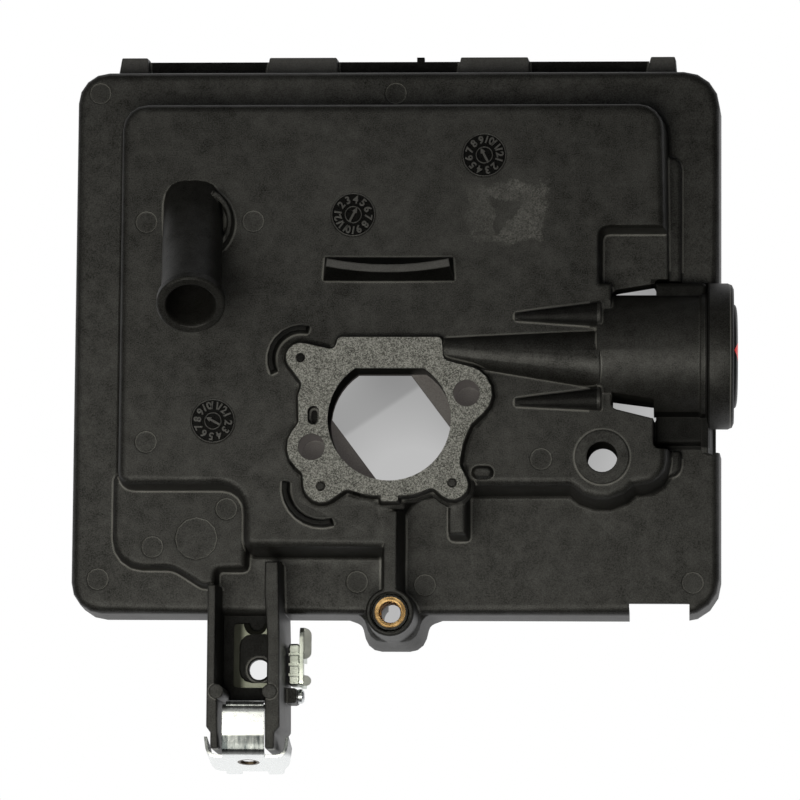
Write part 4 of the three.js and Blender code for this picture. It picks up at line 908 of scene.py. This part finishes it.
def lipOutline(low, high):
    root, steps = clampLips["root"], clampLips["steps"]
    corner = min(clampLips["corner"], (high - low) / 2)
    across = root + clampLips["reach"] - corner
    quarter = [math.pi / 2 * i / steps for i in range(steps + 1)]
    near = [(across + corner * math.sin(a), low + corner * (1 - math.cos(a))) for a in quarter]
    far = [(across + corner * math.cos(a), high - corner * (1 - math.sin(a))) for a in quarter]
    return [(root, low), *near, *far, (root, high)]


def makeClampLips():
    mesh = bmesh.new()
    for low, high in clampLips["spans"]:
        outline = lipOutline(low, high)
        out = [(x - clampLips["root"]) / clampLips["reach"] for x, y in outline]
        tops = [clampLips["top"] - clampLips["drop"] * share ** 2 for share in out]
        upper = [mesh.verts.new(at(x, y, z)) for (x, y), z in zip(outline, tops)]
        lower = [mesh.verts.new(at(x, y, z - clampLips["sheet"])) for (x, y), z in zip(outline, tops)]
        mesh.faces.new(upper)
        mesh.faces.new(list(reversed(lower)))
        joinRings(mesh, [lower, upper])
    return keep(mesh, "clampLips", "lips", "housing", 40)


makeClampLips()
print("clamp lips made")


# floor, light and camera

# the paper within halfX and halfY of the tray's middle lies under the part
floor = {
    "reach": 3.0, "below": 0.2, "shade": 0.36, "pale": 0.55, "halfX": 79, "halfY": 66,
    "mirror": 0.85, "mirrorNear": 150, "mirrorFar": 210,
}
# the painted shade of the paper seen through the throat steps across a soft diagonal line, with a thin
# darker line along it
throatShadeStep = {
    "x": -15.6, "y": -23.7, "slope": 34, "half": 1.2, "step": 0.045, "dip": 0.03,
    "middleX": -0.5, "middleY": -22.8, "reach": 24,
}
# painted shade of the paper seen through the screw's hole and the bracket's hole
floorSpots = {
    "belowScrew": {"x": -1.9, "y": -70.6, "reach": 6.5, "shade": 0.47},
    "belowBracket": {"x": -36.1, "y": -85.2, "reach": 6, "shade": 0.83},
}


def grey(tree, value):
    tone = addNode(tree, "ShaderNodeCombineColor")
    for socket in tone.inputs:
        tree.links.new(value, socket)
    return tone.outputs[0]


def makeFloor():
    mesh = bmesh.new()
    reach, depth = floor["reach"], -mm(floor["below"])
    corners = ((-reach, -reach), (reach, -reach), (reach, reach), (-reach, reach))
    mesh.faces.new([mesh.verts.new((x, y, depth)) for x, y in corners])
    data = bpy.data.meshes.new("studioFloor")
    mesh.to_mesh(data)
    mesh.free()
    obj = bpy.data.objects.new("studioFloor", data)
    bpy.context.collection.objects.link(obj)
    data.materials.append(floorPaper())
    return obj


def foldTone(tree, vector):
    slope = math.radians(throatShadeStep["slope"])
    across = Vector((math.sin(slope), -math.cos(slope), 0))
    dot = addNode(tree, "ShaderNodeVectorMath", operation="DOT_PRODUCT")
    tree.links.new(vector, dot.inputs[0])
    dot.inputs[1].default_value = across
    start = across.dot(at(throatShadeStep["x"], throatShadeStep["y"], 0))
    off = times(tree, minus(tree, dot.outputs["Value"], start), 1000)
    half, step = throatShadeStep["half"], throatShadeStep["step"]
    step = remap(tree, off, -half, half, -step, step, True)
    dip = remap(tree, addMath(tree, "ABSOLUTE", off), 0, half, -throatShadeStep["dip"], 0, True)
    away = flatDistance(tree, vector, throatShadeStep["middleX"], throatShadeStep["middleY"])
    near = under(tree, away, throatShadeStep["reach"])
    return times(tree, near, plus(tree, step, dip))


def underTray(tree, vector):
    across, along, up = axesOf(tree, vector)
    besideX = addMath(tree, "ABSOLUTE", minus(tree, across, mm(tray["x"])))
    besideY = addMath(tree, "ABSOLUTE", minus(tree, along, mm(tray["y"])))
    return times(tree, under(tree, besideX, mm(floor["halfX"])), under(tree, besideY, mm(floor["halfY"])))


def seenPaper(tree, vector, covered):
    # under the tray the paper lies in the part's shade; outside it the camera sees it plain white
    shade = floor["shade"]
    soft = remap(tree, addNoise(tree, vector, 22, 1, 0.4), 0.35, 0.65, shade - 0.07, shade + 0.1)
    soft = plus(tree, soft, foldTone(tree, vector))
    tone = mixColours(tree, covered, (1, 1, 1), grey(tree, soft))
    for spot in floorSpots.values():
        away = flatDistance(tree, vector, spot["x"], spot["y"])
        near = remap(tree, away, spot["reach"], spot["reach"] * 0.8, 0, 1)
        tone = mixColours(tree, near, tone, (spot["shade"],) * 3)
    return tone


def mirroredPaper(tree, vector, covered):
    # painted reflection: polished and steep faces mirror the paper close by, and not what lies far away nor
    # the paper under the tray
    away = flatDistance(tree, vector, 0, -tray["y"])
    beside = remap(tree, away, floor["mirrorNear"], floor["mirrorFar"], floor["mirror"], 0.02)
    return grey(tree, times(tree, beside, minus(tree, 1, covered)))


def floorPaper():
    mat, tree = newShader("floorPaper")
    bsdf = shaderOf(tree)
    vector = places(tree)
    mottle = addNoise(tree, vector, 60, 3, 0.5)
    pale = remap(tree, mottle, 0.3, 0.7, floor["pale"] - 0.02, floor["pale"] + 0.02)
    tree.links.new(pale, bsdf.inputs["Base Color"])
    bsdf.inputs["Roughness"].default_value = 0.8
    covered = underTray(tree, vector)
    path = addNode(tree, "ShaderNodeLightPath")
    camera, glossy = path.outputs["Is Camera Ray"], path.outputs["Is Glossy Ray"]
    tone = mixColours(tree, glossy, seenPaper(tree, vector, covered), mirroredPaper(tree, vector, covered))
    seen = addNode(tree, "ShaderNodeEmission")
    tree.links.new(tone, seen.inputs["Color"])
    mixed = addNode(tree, "ShaderNodeMixShader")
    tree.links.new(larger(tree, camera, glossy), mixed.inputs[0])
    tree.links.new(bsdf.outputs[0], mixed.inputs[1])
    tree.links.new(seen.outputs[0], mixed.inputs[2])
    tree.links.new(mixed.outputs[0], tree.nodes["Material Output"].inputs["Surface"])
    return mat


makeFloor()

studio = {
    "overheadSoftbox": {"place": (-0.10, -0.32, 1.05), "wide": 0.5, "high": 0.4, "power": 4.5,
                        "colour": (1.0, 0.98, 0.87)},
    "leftSoftbox": {"place": (-0.42, -0.20, 0.72), "wide": 0.5, "high": 0.4, "power": 1.0,
                    "colour": (1.0, 0.98, 0.89)},
    "windowSoftbox": {"place": (-0.35, 0.55, 0.75), "wide": 0.5, "high": 0.5, "power": 0.45,
                      "colour": (1.0, 0.99, 0.92)},
}
lightAim = Vector((0, 0, 0.02))  # all three lamps point here


def makeLights():
    for name, light in studio.items():
        data = bpy.data.lights.new(name, "AREA")
        data.shape = "RECTANGLE"
        data.size = light["wide"]
        data.size_y = light["high"]
        data.energy = light["power"]
        data.color = light["colour"]
        obj = bpy.data.objects.new(name, data)
        obj.location = light["place"]
        obj.rotation_mode = "QUATERNION"
        obj.rotation_quaternion = (lightAim - obj.location).to_track_quat("-Z", "Y")
        bpy.context.collection.objects.link(obj)


# the room's faint light; the camera itself sees plain white
room = {"colour": (0.9, 0.93, 1.0, 1), "strength": 0.05}


def makeWorld():
    world = bpy.data.worlds.new("studioRoom")
    bpy.context.scene.world = world
    world.use_nodes = True
    tree = world.node_tree
    faint = tree.nodes["Background"]
    faint.inputs["Color"].default_value = room["colour"]
    faint.inputs["Strength"].default_value = room["strength"]
    plain = addNode(tree, "ShaderNodeBackground")
    plain.inputs["Color"].default_value = (1, 1, 1, 1)
    path = addNode(tree, "ShaderNodeLightPath")
    mixed = addNode(tree, "ShaderNodeMixShader")
    tree.links.new(path.outputs["Is Camera Ray"], mixed.inputs[0])
    tree.links.new(faint.outputs[0], mixed.inputs[1])
    tree.links.new(plain.outputs[0], mixed.inputs[2])
    tree.links.new(mixed.outputs[0], tree.nodes["World Output"].inputs["Surface"])


makeLights()
makeWorld()

# the camera is turned by these degrees from straight down; its distance is in metres
lens = {
    "aim": (1.2, -15.6, 16.0), "turn": (6.7874, 3.2102, 0.4396), "distance": 1.35, "focal": 231.4,
    "sensor": 36, "near": 0.05, "far": 20,
}


def makeCamera():
    data = bpy.data.cameras.new("bench")
    data.sensor_width = lens["sensor"]
    data.lens = lens["focal"]
    data.clip_start = lens["near"]
    data.clip_end = lens["far"]
    obj = bpy.data.objects.new("bench", data)
    bpy.context.collection.objects.link(obj)
    turn = Euler([math.radians(angle) for angle in lens["turn"]]).to_matrix()
    spot = at(*lens["aim"]) + turn.col[2] * lens["distance"]
    obj.matrix_world = Matrix.Translation(spot) @ turn.to_4x4()
    bpy.context.scene.camera = obj


makeCamera()
bpy.context.scene.view_settings.view_transform = "Standard"
print("floor, lights and camera set")
